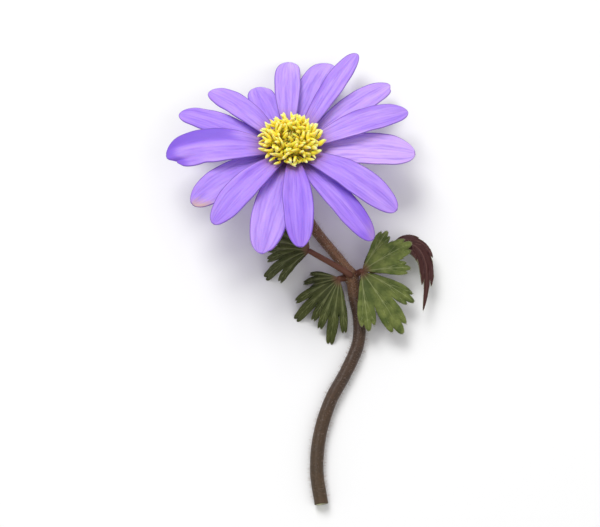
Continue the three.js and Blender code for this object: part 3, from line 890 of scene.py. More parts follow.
@dataclass
class Corolla:
    """All petals of the bloom.

    Attributes:
        foot_radius: where a petal starts, on the receptacle.
        claw_width: the width of its foot.
        full_reach: the reach at which a whorl's arch counts in full.
        widest: share of its length where it is widest.
        bluntest: the least share of its half-width that is left at its tip.
        channel: how far its edges stand above its middle.
        groove, groove_side: its middle groove's depth, and half-width as a share of its own.
        pleat, pleats: the height of its lengthwise pleats, and how many cross it.
        ripple: the height of the ripples in its rim.
        waver: how far its outline strays, as a share of its width.
        thickness, rim_thickness: at its middle and at its edges.
        rows, columns: its grid.
        crowding: the power with which the rows crowd towards its tip.
        seed_step: from one petal's unevenness to the next.
    """

    foot_radius: float = 2.15
    claw_width: float = 1.5
    full_reach: float = 25.0
    widest: float = 0.62
    bluntest: float = 0.06
    channel: float = 0.35
    groove: float = 0.13
    groove_side: float = 0.16
    pleat: float = 0.075
    pleats: float = 2.4
    ripple: float = 0.11
    waver: float = 0.025
    thickness: float = 0.36
    rim_thickness: float = 0.16
    rows: int = 76
    columns: int = 27
    crowding: float = 1.55
    seed_step: float = 1.7

    def half_width(self, share: Array, side: Array, petal: Petal) -> Array:
        """Half the width along a petal: a quarter sine from claw to widest, then a round end.

        Args:
            share: shares of its length.
            side: places across, -1 to 1.
            petal: its sizes.

        Returns:
            Half the width at each share.
        """
        quarter_sine = np.sin(np.pi / 2 * np.clip(share / self.widest, 0, 1))
        rising = lerp(self.claw_width, petal.width, quarter_sine) / 2
        towards = np.clip((share - self.widest) / (1 - self.widest), 0, 1)
        blunt = petal.blunt + petal.corner * (side > 0)
        round_end = np.sqrt(1 - np.minimum(towards**blunt, 1))
        falling = petal.width / 2 * np.maximum(self.bluntest, round_end)
        return np.where(share < self.widest, rising, falling)

    def middle(
        self, whorl: Whorl, foot: float, petal: Petal, share: Array, side: Array, seed: float
    ) -> Array:
        """A petal's middle surface.

        Its heading turns from foot to tip with the root of the share. Its spine is an arch that droops to the
        tip, 4s(1-s) and s^2. Across, the edges rise with the square of the side, a groove runs along the
        middle, low pleats follow its length, and the rim ripples. Each notch shortens it by a bell across the
        tip.

        Args:
            whorl: its ring.
            foot: where its foot points, in degrees.
            petal: its sizes.
            share: shares of its length, 0 to 1, a grid.
            side: places across, -1 to 1, a grid.
            seed: turns its unevenness into its own.

        Returns:
            Points in the drawing's frame.
        """
        heading = lerp(foot, petal.heading, np.sqrt(share))
        arch = whorl.arch * petal.reach / self.full_reach
        spine = lerp(whorl.height, petal.tip_height, share**2) + arch * 4 * share * (1 - share)
        waist = np.sin(np.pi * share)
        channel = self.channel * waist * side**2
        groove = -self.groove * np.exp(-((side / self.groove_side) ** 2)) * waist**0.6
        pleat_turn = np.pi * self.pleats * side + hum(2.2 * share, seed)
        pleats = self.pleat * petal.pleat * np.cos(pleat_turn) * waist**0.7
        rim_hum = hum(9 * share + 2 * np.sign(side), seed)
        ripple = self.ripple * np.abs(side) ** 3 * rim_hum * smooth(share, 0.15, 0.6)
        outline_hum = hum(6.5 * share + 1.3 * np.sign(side), seed + 2)
        waver = 1 + self.waver * outline_hum * smooth(share, 0.2, 0.5)
        across = side * (self.half_width(share, side, petal) * waver)
        radius = lerp(self.foot_radius, petal.reach, share)
        for notch in petal.notches:
            away = np.abs(across - notch.side) / notch.spread
            radius = radius - notch.depth * np.exp(-(away**notch.power)) * smooth(share, 0.55, 0.9)
        points = around(heading, radius, spine + channel + groove + pleats + ripple)
        return in_bloom(points + around(heading + 90, across, 0.0))

    def flush(self, petal: Petal, share: Array, side: Array) -> Array:
        """Painted shade on a petal: soft steps give a band along one side and one across its tip.

        Args:
            petal: its features.
            share: shares of its length, a grid.
            side: places across, a grid.

        Returns:
            The painted shade, 0 to 1.
        """
        most = abs(petal.flush)
        beside = most * smooth(np.sign(petal.flush) * side, 0.15, 0.55) * smooth(share, 0.3, 0.55)
        return np.maximum(beside, most * smooth(share, 0.86, 0.99) * 0.8)

    def make(self, whorl: Whorl, number: int, material: Material) -> bpy.types.Object:
        """Makes one petal, which thins towards its rim and whose tip may be wilted.

        Args:
            whorl: its ring.
            number: its place in the ring, from 0.
            material: the petals' finish.

        Returns:
            The petal.
        """
        petal = whorl.petals[number]
        foot = whorl.first_foot + 360 / len(whorl.petals) * number
        seed = number * self.seed_step + whorl.first_seed
        length_shares = 1 - (1 - np.linspace(0, 1, self.rows)) ** self.crowding
        share, side = np.meshgrid(length_shares, np.linspace(-1, 1, self.columns), indexing="ij")
        thickness = lerp(self.thickness, self.rim_thickness, np.maximum(side**4, share**10))
        beside = (1 - np.abs(side)) * self.half_width(share, side, petal)
        edge = np.minimum(beside, (1 - share) * petal.reach * 0.9)
        wilt = petal.wilt * smooth(share + 0.10 * side + 0.03 * hum(7 * side, seed), 0.87, 1.04)
        # Painted shade where the petal lies in shade, also taken off its tone.
        flush = self.flush(petal, share, side)
        maker = MeshMaker(f"tepal_{whorl.name}_{number + 1}")
        grid = self.middle(whorl, foot, petal, share, side, seed)
        maker.add_blade(
            grid, thickness, across=side, along=share, edge=edge, wilt=wilt, tone=petal.tone - flush,
            flush=flush, seed=seed)
        return maker.make(f"petal_{whorl.name}_{number + 1}", "petal", material)

    def build(self, material: Material) -> None:
        """Makes both whorls.

        Args:
            material: the petals' finish.
        """
        for whorl in (OUTER, INNER):
            for number in range(len(whorl.petals)):
                self.make(whorl, number, material)


@dataclass(frozen=True)
class StamenRing:
    """A ring of stamens: how many, and where their anthers are round the bloom's axis."""

    count: int
    radius: float
    height: float


@dataclass
class Boss:
    """The stamens and the dome of young seed vessels inside them.

    A range gives the least and the most of a random draw, in mm unless it says otherwise.

    Attributes:
        rings: the stamens, from the outside in, and then those that stand lower between them.
        low_rings: how many of the rings stand lower.
        ring_turn: from one ring to the next, in degrees.
        swing: range by which a thread and its anther stray round the axis, in degrees.
        radius_draw, height_draw: ranges by which an anther strays in radius and height.
        root_radius, root_height: where the threads start.
        root_draw: range by which they stray in radius there.
        follow: how closely an anther keeps to its thread's direction.
        side_lean, up_lean, out_lean: ranges of its lean, as shares of its length.
        outer_lean, outer_growth: how much more the outermost lean out, and how much longer they are.
        thread_radius: a thread's.
        anther_length, anther_radius: an anther's size.
        anther_flatness, anther_lobes: its breadth as a share of its width, and how far its lobes stand out.
        anther_foot: share of its length below the thread's end.
        collar: radii and heights of the section of the ring that the threads grow from.
        collar_sides: its points round the axis.
        dome_radius, dome_height, dome_bottom: the seed vessels' dome.
        vessels: how many seed vessels.
        vessel_radius, vessel_length: a seed vessel's size.
        vessel_draw: range of the factors on it.
    """

    rings: tuple[StamenRing, ...] = (
        StamenRing(28, 5.7, 3.7),
        StamenRing(26, 5.0, 4.6),
        StamenRing(24, 4.2, 5.3),
        StamenRing(20, 3.35, 5.85),
        StamenRing(16, 2.5, 6.2),
        StamenRing(8, 1.6, 6.4),
        StamenRing(26, 4.7, 3.3),
        StamenRing(22, 3.6, 4.3),
        StamenRing(16, 2.7, 4.9),
    )
    low_rings: int = 3
    ring_turn: float = 9.0
    swing: Pair = (-5.0, 5.0)
    radius_draw: Pair = (-0.35, 0.35)
    height_draw: Pair = (-0.4, 0.35)
    root_radius: float = 2.0
    root_height: float = 2.1
    root_draw: Pair = (-0.3, 0.3)
    follow: float = 0.6
    side_lean: Pair = (-1.0, 1.0)
    up_lean: Pair = (-0.1, 0.3)
    out_lean: Pair = (-0.55, 0.6)
    outer_lean: float = 0.55
    outer_growth: float = 1.12
    thread_radius: float = 0.15
    anther_length: float = 2.15
    anther_radius: float = 0.39
    anther_flatness: float = 0.85
    anther_lobes: float = 0.16
    anther_foot: float = 0.42
    collar: tuple[Pair, ...] = (
        (1.42, 1.75), (2.5, 1.75), (2.55, 2.15), (2.2, 2.5), (1.7, 2.5), (1.42, 2.2),
    )
    collar_sides: int = 48
    dome_radius: float = 1.6
    dome_height: float = 2.5
    dome_bottom: float = 2.6
    vessels: int = 64
    vessel_radius: float = 0.27
    vessel_length: float = 0.95
    vessel_draw: Pair = (0.85, 1.1)

    def stamens(self, material: Material) -> bpy.types.Object:
        """Makes the stamens: threads from the collar, each with a two-lobed anther leaning on its end.

        Args:
            material: their finish.

        Returns:
            The piece.
        """
        counts = [ring.count for ring in self.rings]
        ring = np.repeat(np.arange(len(counts)), counts)
        draw = partial(np.random.default_rng(11).uniform, size=len(ring))
        place = np.concatenate([np.arange(count) / count for count in counts])
        angle = 360 * place + self.ring_turn * ring + draw(*self.swing)
        radius = np.repeat([r.radius for r in self.rings], counts) + draw(*self.radius_draw)
        height = np.repeat([r.height for r in self.rings], counts) + draw(*self.height_draw)
        root = around(angle, self.root_radius + draw(*self.root_draw), self.root_height)
        tip = around(angle + draw(*self.swing), radius, height)
        inwards = np.minimum(ring / (len(counts) - self.low_rings - 1), 1)
        lean = self.follow * unit(tip - root)
        lean += around(angle + 90, draw(*self.side_lean), draw(*self.up_lean))
        lean += around(angle, draw(*self.out_lean) + lerp(self.outer_lean, 0.0, inwards), 0.0)
        maker = MeshMaker("stamen_boss")
        self.add_threads(maker, root, tip)
        self.add_anthers(maker, draw, tip, lean, inwards, ring >= len(counts) - self.low_rings)
        self.add_collar(maker)
        return maker.make("stamens", "stamen", material)

    def add_threads(self, maker: MeshMaker, root: Array, tip: Array) -> None:
        """Adds the stamens' threads, straight and slightly tapered.

        Args:
            maker: the stamens' mesh.
            root: where each starts.
            tip: where it ends.
        """
        thread = spindle(lambda t: 1 - 0.25 * t, 6, 3)
        length = np.linalg.norm(tip - root, axis=1)
        sizes = (self.thread_radius, self.thread_radius, length)
        points, faces = swarm(thread, root, unit(tip - root), sizes, 0 * length)
        up = np.tile(thread[0][:, 2], len(root))
        stalk = smooth(up, 0.1, 0.7) * 0.8 + 0.1
        # The threads' feet, down among the stamens, get painted shade.
        maker.add(in_bloom(points), faces, stalk=stalk, deep=1 - smooth(up, 0.1, 0.6))

    def add_anthers(
        self, maker: MeshMaker, draw: Callable[..., Array], tip: Array, lean: Array, inwards: Array,
        lower: Array,
    ) -> None:
        """Adds the anthers: spindles whose radius is a low power of a sine, less towards the free end.

        Args:
            maker: the stamens' mesh.
            draw: draws a number for each anther between two limits.
            tip: the thread's end.
            lean: the direction of each.
            inwards: 0 for the outermost ring to 1 for the innermost.
            lower: whether it stands in a lower ring.
        """
        shape, faces = spindle(
            lambda t: np.sin(np.pi * np.clip(t * 0.97 + 0.02, 0, 1)) ** 0.45 * (1.12 - 0.38 * t), 8, 6,
            self.anther_lobes)
        each = len(shape)
        anther = shape - np.array([0, 0, self.anther_foot]), faces
        long = self.anther_length * draw(0.8, 1.12) * lerp(self.outer_growth, 1.0, inwards)
        wide = self.anther_radius * draw(0.85, 1.15)
        points, faces = swarm(anther, tip, lean, (wide, wide * self.anther_flatness, long), draw(0, np.pi))
        up = np.tile(shape[:, 2], len(tip))
        # The anthers' pale tips are partly their own colour and partly painted highlight, strongest on the
        # outer rings and least on the lower rings, which stand in shade.
        tip_paleness_and_highlight = np.repeat(draw(0.35, 1.0) * np.where(lower, 0.15, lerp(1.0, 0.35, inwards)), each)
        # Painted shade at each anther's foot, more on the lower rings, which stand under the others; its
        # strength varies at random.
        depth = np.repeat(draw(0, 0.12) + 0.2 * lower, each)
        deep = (1 - smooth(up, 0.0, 0.45)) * 0.25 + depth * (1 - smooth(up, 0.3, 0.9))
        maker.add(in_bloom(points), faces, tip=smooth(up, 0.42, 0.95) * tip_paleness_and_highlight, deep=deep)

    def add_collar(self, maker: MeshMaker) -> None:
        """Adds the ring that the threads grow from: its section turned about the axis, with a slight wave.

        Args:
            maker: the stamens' mesh.
        """
        turn = circle(self.collar_sides)
        wave = 1 + 0.02 * np.cos(12 * turn)
        radius, height = np.array(self.collar).T[..., None]
        ring = np.stack([radius * np.cos(turn) * wave, radius * np.sin(turn) * wave, height + 0 * turn], -1)
        faces = quads_between(len(self.collar), self.collar_sides, wrap=True, closed=True)[:, ::-1]
        # The collar lies under the stamens and is coloured with painted shade.
        maker.add(in_bloom(ring.reshape(-1, 3)), [faces], deep=0.9)

    def seed_vessels(self, material: Material) -> bpy.types.Object:
        """Makes the dome and its seed vessels, set in a golden-angle spiral, each drawn out to a beak.

        The dome's radius falls with the cosine as its height rises with the sine. The vessels lie on it at
        shares from the middle that grow with the root of their number, so that they are evenly dense.

        Args:
            material: their finish.

        Returns:
            The piece.
        """
        maker = MeshMaker("seed_vessels")
        t = np.linspace(0, 1, 15)
        centres = np.stack([0 * t, 0 * t, self.dome_bottom + self.dome_height * np.sin(np.pi / 2 * t)], 1)
        core, faces = tube_shell(centres, self.dome_radius * 0.94 * np.cos(np.pi / 2 * t * 0.985), 24)
        # The dome's core lies under the vessels and is coloured with painted shade.
        maker.add(in_bloom(core), faces, deep=1.0)
        n = np.arange(self.vessels)
        share = np.sqrt((n + 0.5) / self.vessels) * 0.93
        radius = self.dome_radius * np.sin(share * np.pi / 2)
        height = self.dome_bottom + self.dome_height * np.cos(share * np.pi / 2)
        places = around(GOLDEN_ANGLE * n, radius * 0.9, height - 0.2)
        out = around(GOLDEN_ANGLE * n, share, 1.15 - 0.75 * share)
        profile = partial(np.interp, xp=[0, 0.12, 0.35, 0.6, 0.8, 1], fp=[0.55, 0.85, 1, 0.72, 0.34, 0.2])
        vessel = spindle(profile, 7, 6)
        draw = partial(np.random.default_rng(5).uniform, *self.vessel_draw, self.vessels)
        wide = self.vessel_radius * draw()
        points, faces = swarm(vessel, places, out, (wide, wide, self.vessel_length * draw()), n * 1.0)
        up = np.tile(vessel[0][:, 2], self.vessels)
        # Painted shade at each vessel's foot, in the gaps between them.
        deep = (1 - smooth(up, 0.05, 0.45)) * 0.7
        maker.add(in_bloom(points), faces, tip=smooth(up, 0.6, 1.0), deep=deep)
        return maker.make("carpel_head", "carpel", material)


# ---- The stem -----------------------------------------------------------------------------------------

LEAF_JOINT = np.array([10.0, -1.3, 1.9])  # where the leaves join the stem
STEM_HEADING = -72.0  # the way in which the stem leaves it, in degrees
LYING = 1.1  # height of the middle line where the stem lies on the surface


@dataclass
class Stem:
    """The stem from the receptacle's knob to the cut end.

    Attributes:
        knob_top: the knob's height along the bloom's axis.
        receptacle: heights and radii from the knob down to the neck.
        pedicel_radius, scape_radius, cut_radius: above the leaves, below them and at the cut.
        joint_radius: the swelling where the leaves join.
        route: points below the neck, down to the leaves and along the surface.
        neck_bottom: where the neck ends and the route starts, as a height along the bloom's axis.
        sides: points round the skin.
        smooth_to: how far from the top the skin has no ridges.
        ridge, ridges, waver: how far its ridges stand out, how many there are, and how uneven its radius is.
        bark: the skin's thickness at the cut.
        shade_in: distance below the leaves over which painted shade darkens it and its down.
        hairs, hair_radius, hair_lengths: of its down.
    """

    knob_top: float = 2.6
    receptacle: tuple[Pair, ...] = (
        (2.6, 0.95), (2.45, 1.15), (2.2, 1.25), (1.65, 1.27), (1.55, 1.9), (1.45, 2.25), (1.2, 2.35),
        (0.4, 2.36), (0.0, 2.3), (-0.5, 2.1), (-0.9, 1.85), (-1.4, 1.58), (-1.9, 1.36), (-2.4, 1.2),
        (-3.2, 1.1),
    )
    pedicel_radius: float = 1.05
    scape_radius: float = 1.25
    cut_radius: float = 1.35
    joint_radius: float = 1.55
    route: tuple[Triple, ...] = (
        (-1.6, 17.8, 5.0), (1.7, 9.8, 3.3), tuple(LEAF_JOINT), (10.6, -5.0, 1.5), (11.6, -10.0, 1.2),
        (11.3, -15.0, LYING), (9.0, -20.5, LYING), (5.8, -26.5, LYING), (3.6, -33.5, LYING),
        (3.0, -40.5, LYING), (3.9, -47.0, LYING),
    )
    neck_bottom: float = -2.2
    sides: int = 32
    smooth_to: float = 6.0
    ridge: float = 0.018
    ridges: int = 5
    waver: float = 0.012
    bark: float = 0.22
    shade_in: float = 8.0
    hairs: int = 2400
    hair_radius: float = 0.028
    hair_lengths: Pair = (0.4, 1.0)

    def path(self, count: int) -> Array:
        """The stem's middle line, from the knob through the bloom's axis and the route.

        Args:
            count: how many points to return.

        Returns:
            Points at even distances.
        """
        axis = np.array([0, math.sin(BLOOM_TILT), math.cos(BLOOM_TILT)])
        top = [BLOOM_CENTRE + height * axis for height in (self.knob_top, 0.0, self.neck_bottom)]
        return spline(np.vstack([top, self.route]), count)

    def radii(self, run: Array, joint_at: float) -> Array:
        """The radius along the stem, straight between its stations.

        Args:
            run: distances from its top.
            joint_at: the leaves' distance.

        Returns:
            The radius at each distance.
        """
        neck = [(self.knob_top - height, radius) for height, radius in self.receptacle]
        joint = [
            (joint_at - 2.4, self.pedicel_radius), (joint_at - 1.2, self.pedicel_radius + 0.25),
            (joint_at - 0.5, self.joint_radius), (joint_at + 0.5, self.joint_radius),
            (joint_at + 1.4, self.scape_radius + 0.1), (joint_at + 2.6, self.scape_radius),
        ]
        whole = run[-1]
        end = [(whole - 0.3, self.cut_radius), (whole - 0.08, self.cut_radius)]
        stations = [*neck, (7.5, self.pedicel_radius), *joint, *end, (whole, self.cut_radius - 0.08)]
        places, widths = np.array(stations).T
        return np.interp(run, places, widths)

    def build(self, material: Material) -> bpy.types.Object:
        """Makes the stem, pressed flat where it lies, with its flesh and its down.

        Its circles have low ridges, a cosine of the turn that winds slowly along it, and an uneven radius.

        Args:
            material: its finish.

        Returns:
            The piece.
        """
        dense = self.path(3000)
        whole = stretches(dense).sum()
        joint_at = whole * np.argmin(np.linalg.norm(dense - LEAF_JOINT, axis=1)) / (len(dense) - 1)
        receptacle, end = np.linspace(0, 5.5, 60), whole - np.array([0.3, 0.15, 0.08, 0.0])
        run = np.concatenate([receptacle, np.linspace(5.8, whole - 0.5, 230), end])
        centres = read_off(run, np.linspace(0, whole, len(dense)), dense)
        turn, at = circle(self.sides), run[:, None]
        uneven = 1 + self.ridge * np.cos(self.ridges * turn + 0.05 * at) + self.waver * hum(at * 0.9, 2.0)
        ridged = np.where(at < self.smooth_to, 1.0, uneven)
        points, faces = tube_shell(centres, self.radii(run, joint_at), self.sides, ridged)
        points[:, 2] = np.maximum(points[:, 2], 0)

        def rings(values: Array) -> Array:
            """A number for each ring's points, and then for the two poles."""
            return np.concatenate([np.repeat(values, self.sides), values[:1], values[-1:]])

        across = np.concatenate([np.tile(np.sin(turn), len(run)), [0, 0]])
        cut = rings(0 * run)
        cut[-1] = 1.0
        green = rings(np.maximum(1 - smooth(run, 3.0, 8.0), 0.04 * smooth(run, joint_at + 20, whole)))
        # Painted shade, growing over a few millimetres below the leaves.
        shade = rings(smooth(run, joint_at, joint_at + self.shade_in))
        maker = MeshMaker("stem_skin")
        maker.add(points, faces, along=rings(run / 10), across=across, green=green, cut=cut, shade=shade)
        maker.add(*self.flesh(centres[-1], unit(centres[-1] - centres[-5])), cut=1.0)
        self.add_down(maker, dense, whole, joint_at)
        return maker.make("stem", "stem", material)

    def flesh(self, end: Array, outwards: Array) -> Shell:
        """The pale flesh in the cut: a short plug just inside the rim of the skin.

        Args:
            end: the middle of the cut.
            outwards: the direction in which it faces.

        Returns:
            Points and faces.
        """
        centres = end + outwards * np.linspace(-0.5, 0, 6)[:, None]
        radii = (self.cut_radius - self.bark) * np.array([1, 1, 1, 1, 1, 0.97])
        points, faces = tube_shell(centres, radii, 28)
        points[:, 2] = np.maximum(points[:, 2], 0.05)
        return points, faces

    def add_down(self, maker: MeshMaker, dense: Array, whole: float, joint_at: float) -> None:
        """Adds short hairs that stand out from the skin at any turn, leaning towards the bloom.

        Args:
            maker: the stem's mesh.
            dense: its middle line.
            whole: its length.
            joint_at: the leaves' distance from its top.
        """
        draw = partial(np.random.default_rng(3).uniform, size=self.hairs)
        at = draw(6.5, whole - 1.2)
        number = (at / whole * (len(dense) - 1)).astype(int)
        tangent, side, other = (part[number] for part in frames_along(dense, SIDEWAYS))
        angle = draw(0, 2 * np.pi)
        out = np.cos(angle)[:, None] * side + np.sin(angle)[:, None] * other
        root = dense[number] + out * (self.radii(np.append(at, whole), joint_at)[:-1] - 0.03)[:, None]
        lean = out + tangent * draw(-0.5, 0.2)[:, None]
        length = draw(*self.hair_lengths)
        tip = root + unit(lean) * length[:, None]
        free = (root[:, 2] > 0.3) & (tip[:, 2] > 0.15)
        sizes = (self.hair_radius, self.hair_radius, length[free])
        points, faces = swarm(HAIR, root[free], lean[free], sizes, angle[free])
        # Painted shade: the hairs below the leaves are dimmer.
        down = lerp(1.0, 0.35, smooth(at[free], joint_at, joint_at + self.shade_in))
        maker.add(points, faces, down=np.repeat(down, len(HAIR[0])))


# ---- The leaves ---------------------------------------------------------------------------------------


@dataclass(frozen=True)
class Margin:
    """How a leaflet's outline is cut.

    Attributes:
        lobes: middle and half-width of each lobe, in shares of the spread, and its length.
        fall: how much shorter a lobe is at its sides.
        fall_power: how late that sets in; a high power makes blunt fingers.
        tooth_notch: how deep the notches between teeth are.
    """

    lobes: tuple[Triple, ...] = ((-0.68, 0.32, 0.84), (0.0, 0.36, 1.0), (0.68, 0.32, 0.84))
    fall: float = 0.26
    fall_power: float = 2.2
    tooth_notch: float = 0.10


class Cut(Enum):
    """The ways in which the leaflets are cut."""

    LOBED = Margin()
    FINGERED = Margin(fall=0.40, fall_power=3.0, tooth_notch=0.045)
    SCALLOPED = Margin(lobes=((0.0, 1.0, 1.0),), fall=0.8, fall_power=1.2, tooth_notch=0.09)


@dataclass(frozen=True)
class Leaflet:
    """One leaflet.

    Attributes:
        rib: the pulls of its midrib's cubic Bezier curve, from where the leaves join.
        spread: half the angle that it covers at its foot, in degrees.
        teeth: how many teeth a lobe has.
        cleft: how far from the foot the clefts between lobes end, as a share of the length.
        shade: how much painted shade darkens it, where it lies in shade or faces away from the light.
        cut: how its outline is cut.
        roll: how far it has turned about its midrib at the tip, in degrees.
        rolls_in: shares of its length between which it does so.
    """

    rib: tuple[Triple, Triple, Triple]
    spread: float
    teeth: int
    cleft: float
    shade: float
    cut: Cut = Cut.LOBED
    roll: float = 0.0
    rolls_in: Pair = (0.2, 0.85)


@dataclass(frozen=True)
class Leaf:
    """One leaf.

    Attributes:
        name: right, left or back.
        side: the side of the stem that its stalk leaves, in degrees round it.
        knot: the stalk's end, from where the leaves join.
        leaflets: its three leaflets.
    """

    name: str
    side: float
    knot: Triple
    leaflets: tuple[Leaflet, ...]


# A leaflet's fifth number is the painted shade on it.
LEAVES = (
    Leaf("right", 38.0, (2.0, 0.3, 2.9), (
        Leaflet(((4.2, -3.0, 4.0), (7.2, -7.6, 3.4), (10.2, -12.2, 1.6)), 37, 3, 0.55, 0.17),
        Leaflet(((5.4, 2.3, 4.4), (8.8, 4.4, 4.2), (12.2, 6.4, 2.6)), 38, 3, 0.76, 0.0),
        Leaflet(
            ((8.0, 9.0, -0.4), (18.2, 10.4, 3.0), (14.2, -7.6, 1.6)), 13.8, 9, 0.8, 0.0, Cut.SCALLOPED,
            roll=165, rolls_in=(0.05, 0.5)),
    )),
    Leaf("left", 158.0, (-2.4, -0.9, 1.9), (
        Leaflet(((-4.9, -1.0, 3.2), (-7.4, -1.0, 2.4), (-9.8, -1.0, -1.6)), 16.5, 2, 0.6, 0.86, Cut.FINGERED),
        Leaflet(((-5.1, -3.2, 3.0), (-8.3, -6.0, 2.0), (-11.4, -8.8, -2.2)), 20, 2, 0.52, 0.79, Cut.FINGERED),
        Leaflet(((-2.9, -5.0, 3.0), (-3.6, -9.4, 2.0), (-4.4, -13.8, -2.2)), 18, 2, 0.52, 0.70, Cut.FINGERED),
    )),
    Leaf("back", 98.0, (-8.4, 4.4, 3.4), (
        Leaflet(((-9.9, 7.1, 4.6), (-11.4, 9.4, 3.8), (-13.2, 11.6, 1.0)), 18.5, 2, 0.56, 0.8, Cut.FINGERED),
        Leaflet(((-11.4, 5.4, 5.0), (-14.8, 6.6, 4.0), (-17.8, 7.6, -0.2)), 18.5, 2, 0.56, 0.8, Cut.FINGERED),
        Leaflet(((-11.2, 3.3, 5.0), (-14.8, 1.8, 3.4), (-17.6, 0.0, -2.8)), 20, 2, 0.56, 0.8, Cut.FINGERED),
    )),
)


@dataclass
class Foliage:
    """The whorl of leaves.

    Attributes:
        foot: where a blade starts from its knot.
        notch: the blade left beside a leaflet, as a share of its length.
        lobe_side: where a lobe's side starts its drop to the cleft.
        lobe_fill: how much of its place a lobe fills.
        tooth_power: how pointed the notches between teeth are.
        side_veins: each pair's root as a share of its midrib, its turn as a share of the lobe's, its weight.
        quilt, quilt_width: how deep the veins lie in the blade, and how wide their furrows are.
        wave, curl: how uneven the blade is, and how far its rim curls down.
        droop: how fast its sides fall away from the midrib.
        thickness, rim_thickness: at the middle and the edge.
        stalk_radius, stalk_root: the leaf stalk's, and how far from the stem's middle it starts.
        fringe_radius, fringe_lengths: of the hairs along its edge.
        fringe_limit: how far to the right they reach.
        rows, columns: the grid's rows and its columns for each tooth.
        leaf_seed, leaflet_seed: steps from one leaf's unevenness to the next, and from one leaflet's.
    """

    foot: float = 0.3
    notch: float = 0.24
    lobe_side: float = 0.90
    lobe_fill: float = 0.985
    tooth_power: float = 2.4
    side_veins: tuple[Triple, ...] = ((0.3, 0.42, 0.5), (0.5, 0.62, 0.62), (0.68, 0.7, 0.5), (0.82, 0.7, 0.4))
    quilt: float = 0.13
    quilt_width: float = 0.55
    wave: float = 0.10
    curl: float = 0.22
    droop: float = 0.022
    thickness: float = 0.34
    rim_thickness: float = 0.14
    stalk_radius: float = 0.56
    stalk_root: float = 1.4
    fringe_radius: float = 0.016
    fringe_lengths: Pair = (0.2, 0.5)
    fringe_limit: float = 26.5
    rows: int = 46
    columns: int = 11
    leaf_seed: float = 3.1
    leaflet_seed: float = 1.3

    def edge(self, leaflet: Leaflet) -> tuple[Array, Array]:
        """A leaflet's outline in polar form.

        Within a lobe the length is its own times 1 - fall |p|^power, with p from -1 to 1 across it, and each
        tooth takes away its notch times a power of |q|, with q from -1 to 1 across the tooth. At a lobe's
        sides the length drops to the cleft, or at the leaflet's sides to the blade that is left beside it.

        Args:
            leaflet: its shape.

        Returns:
            Angles from the midrib in degrees, and shares of its length.
        """
        margin = leaflet.cut.value
        angles, shares = [np.array([-leaflet.spread])], [np.array([self.notch])]
        for middle, half, length in margin.lobes:
            p = np.linspace(-1, 1, leaflet.teeth * self.columns + 1)
            q = 2 * np.mod((p + 1) / 2 * leaflet.teeth, 1) - 1
            tooth = 1 - margin.tooth_notch * np.abs(q) ** self.tooth_power
            share = length * (1 - margin.fall * np.abs(p) ** margin.fall_power) * tooth
            at_side = (np.sign(p) * middle + half) > 0.97
            deep = np.where(at_side, self.notch + 0.1, np.minimum(leaflet.cleft, 0.86 * length))
            angles.append((middle + p * half * self.lobe_fill) * leaflet.spread)
            shares.append(lerp(deep, share, 1 - smooth(np.abs(p), self.lobe_side, 1.0)))
        angles.append(np.array([leaflet.spread]))
        shares.append(np.array([self.notch]))
        return np.concatenate(angles), np.concatenate(shares)

    def veins(self, leaflet: Leaflet, length: float) -> tuple[Array, Array, Array]:
        """The veins as straight stretches in the flat leaflet: each lobe's midrib, and pairs of side veins.

        Args:
            leaflet: its shape.
            length: its midrib's length.

        Returns:
            The start and end of each stretch, (along, aside), and its weight, 1 for a midrib.
        """
        found = []
        for middle, half, reach in leaflet.cut.value.lobes:
            heading, swing = math.radians(middle * leaflet.spread), math.radians(half * leaflet.spread)
            ray = np.array([math.cos(heading), math.sin(heading)])
            found.append((0 * ray, ray * reach * length * 0.97, 1.0))
            for root, off, weight in self.side_veins:
                for turn in (heading - swing * off, heading + swing * off):
                    tip = np.array([math.cos(turn), math.sin(turn)]) * reach * length * min(0.9, root + 0.42)
                    found.append((ray * root * reach * length, tip, weight))
        starts, ends, weights = zip(*found)
        return np.array(starts), np.array(ends), np.array(weights)

    def vein_distance(self, leaflet: Leaflet, length: float, along: Array, aside: Array) -> Array:
        """Distance to the nearest vein, with weaker veins counted as further away.

        For each stretch the nearest point is at t = (p - a).(b - a) / |b - a|^2, held to 0..1.

        Args:
            leaflet: its shape.
            length: its midrib's length.
            along: distances along the midrib, a grid.
            aside: distances aside, a grid.

        Returns:
            The distances.
        """
        starts, ends, weights = self.veins(leaflet, length)
        places = np.stack([along, aside], -1)[..., None, :]
        span = ends - starts
        t = np.clip(np.sum((places - starts) * span, -1) / np.sum(span**2, -1), 0, 1)
        away = np.linalg.norm(places - starts - t[..., None] * span, axis=-1)
        thin = np.clip(weights * (1.15 - 0.75 * np.linalg.norm(places, axis=-1) / length), 0.2, 1)
        return np.min(away / thin, axis=-1)

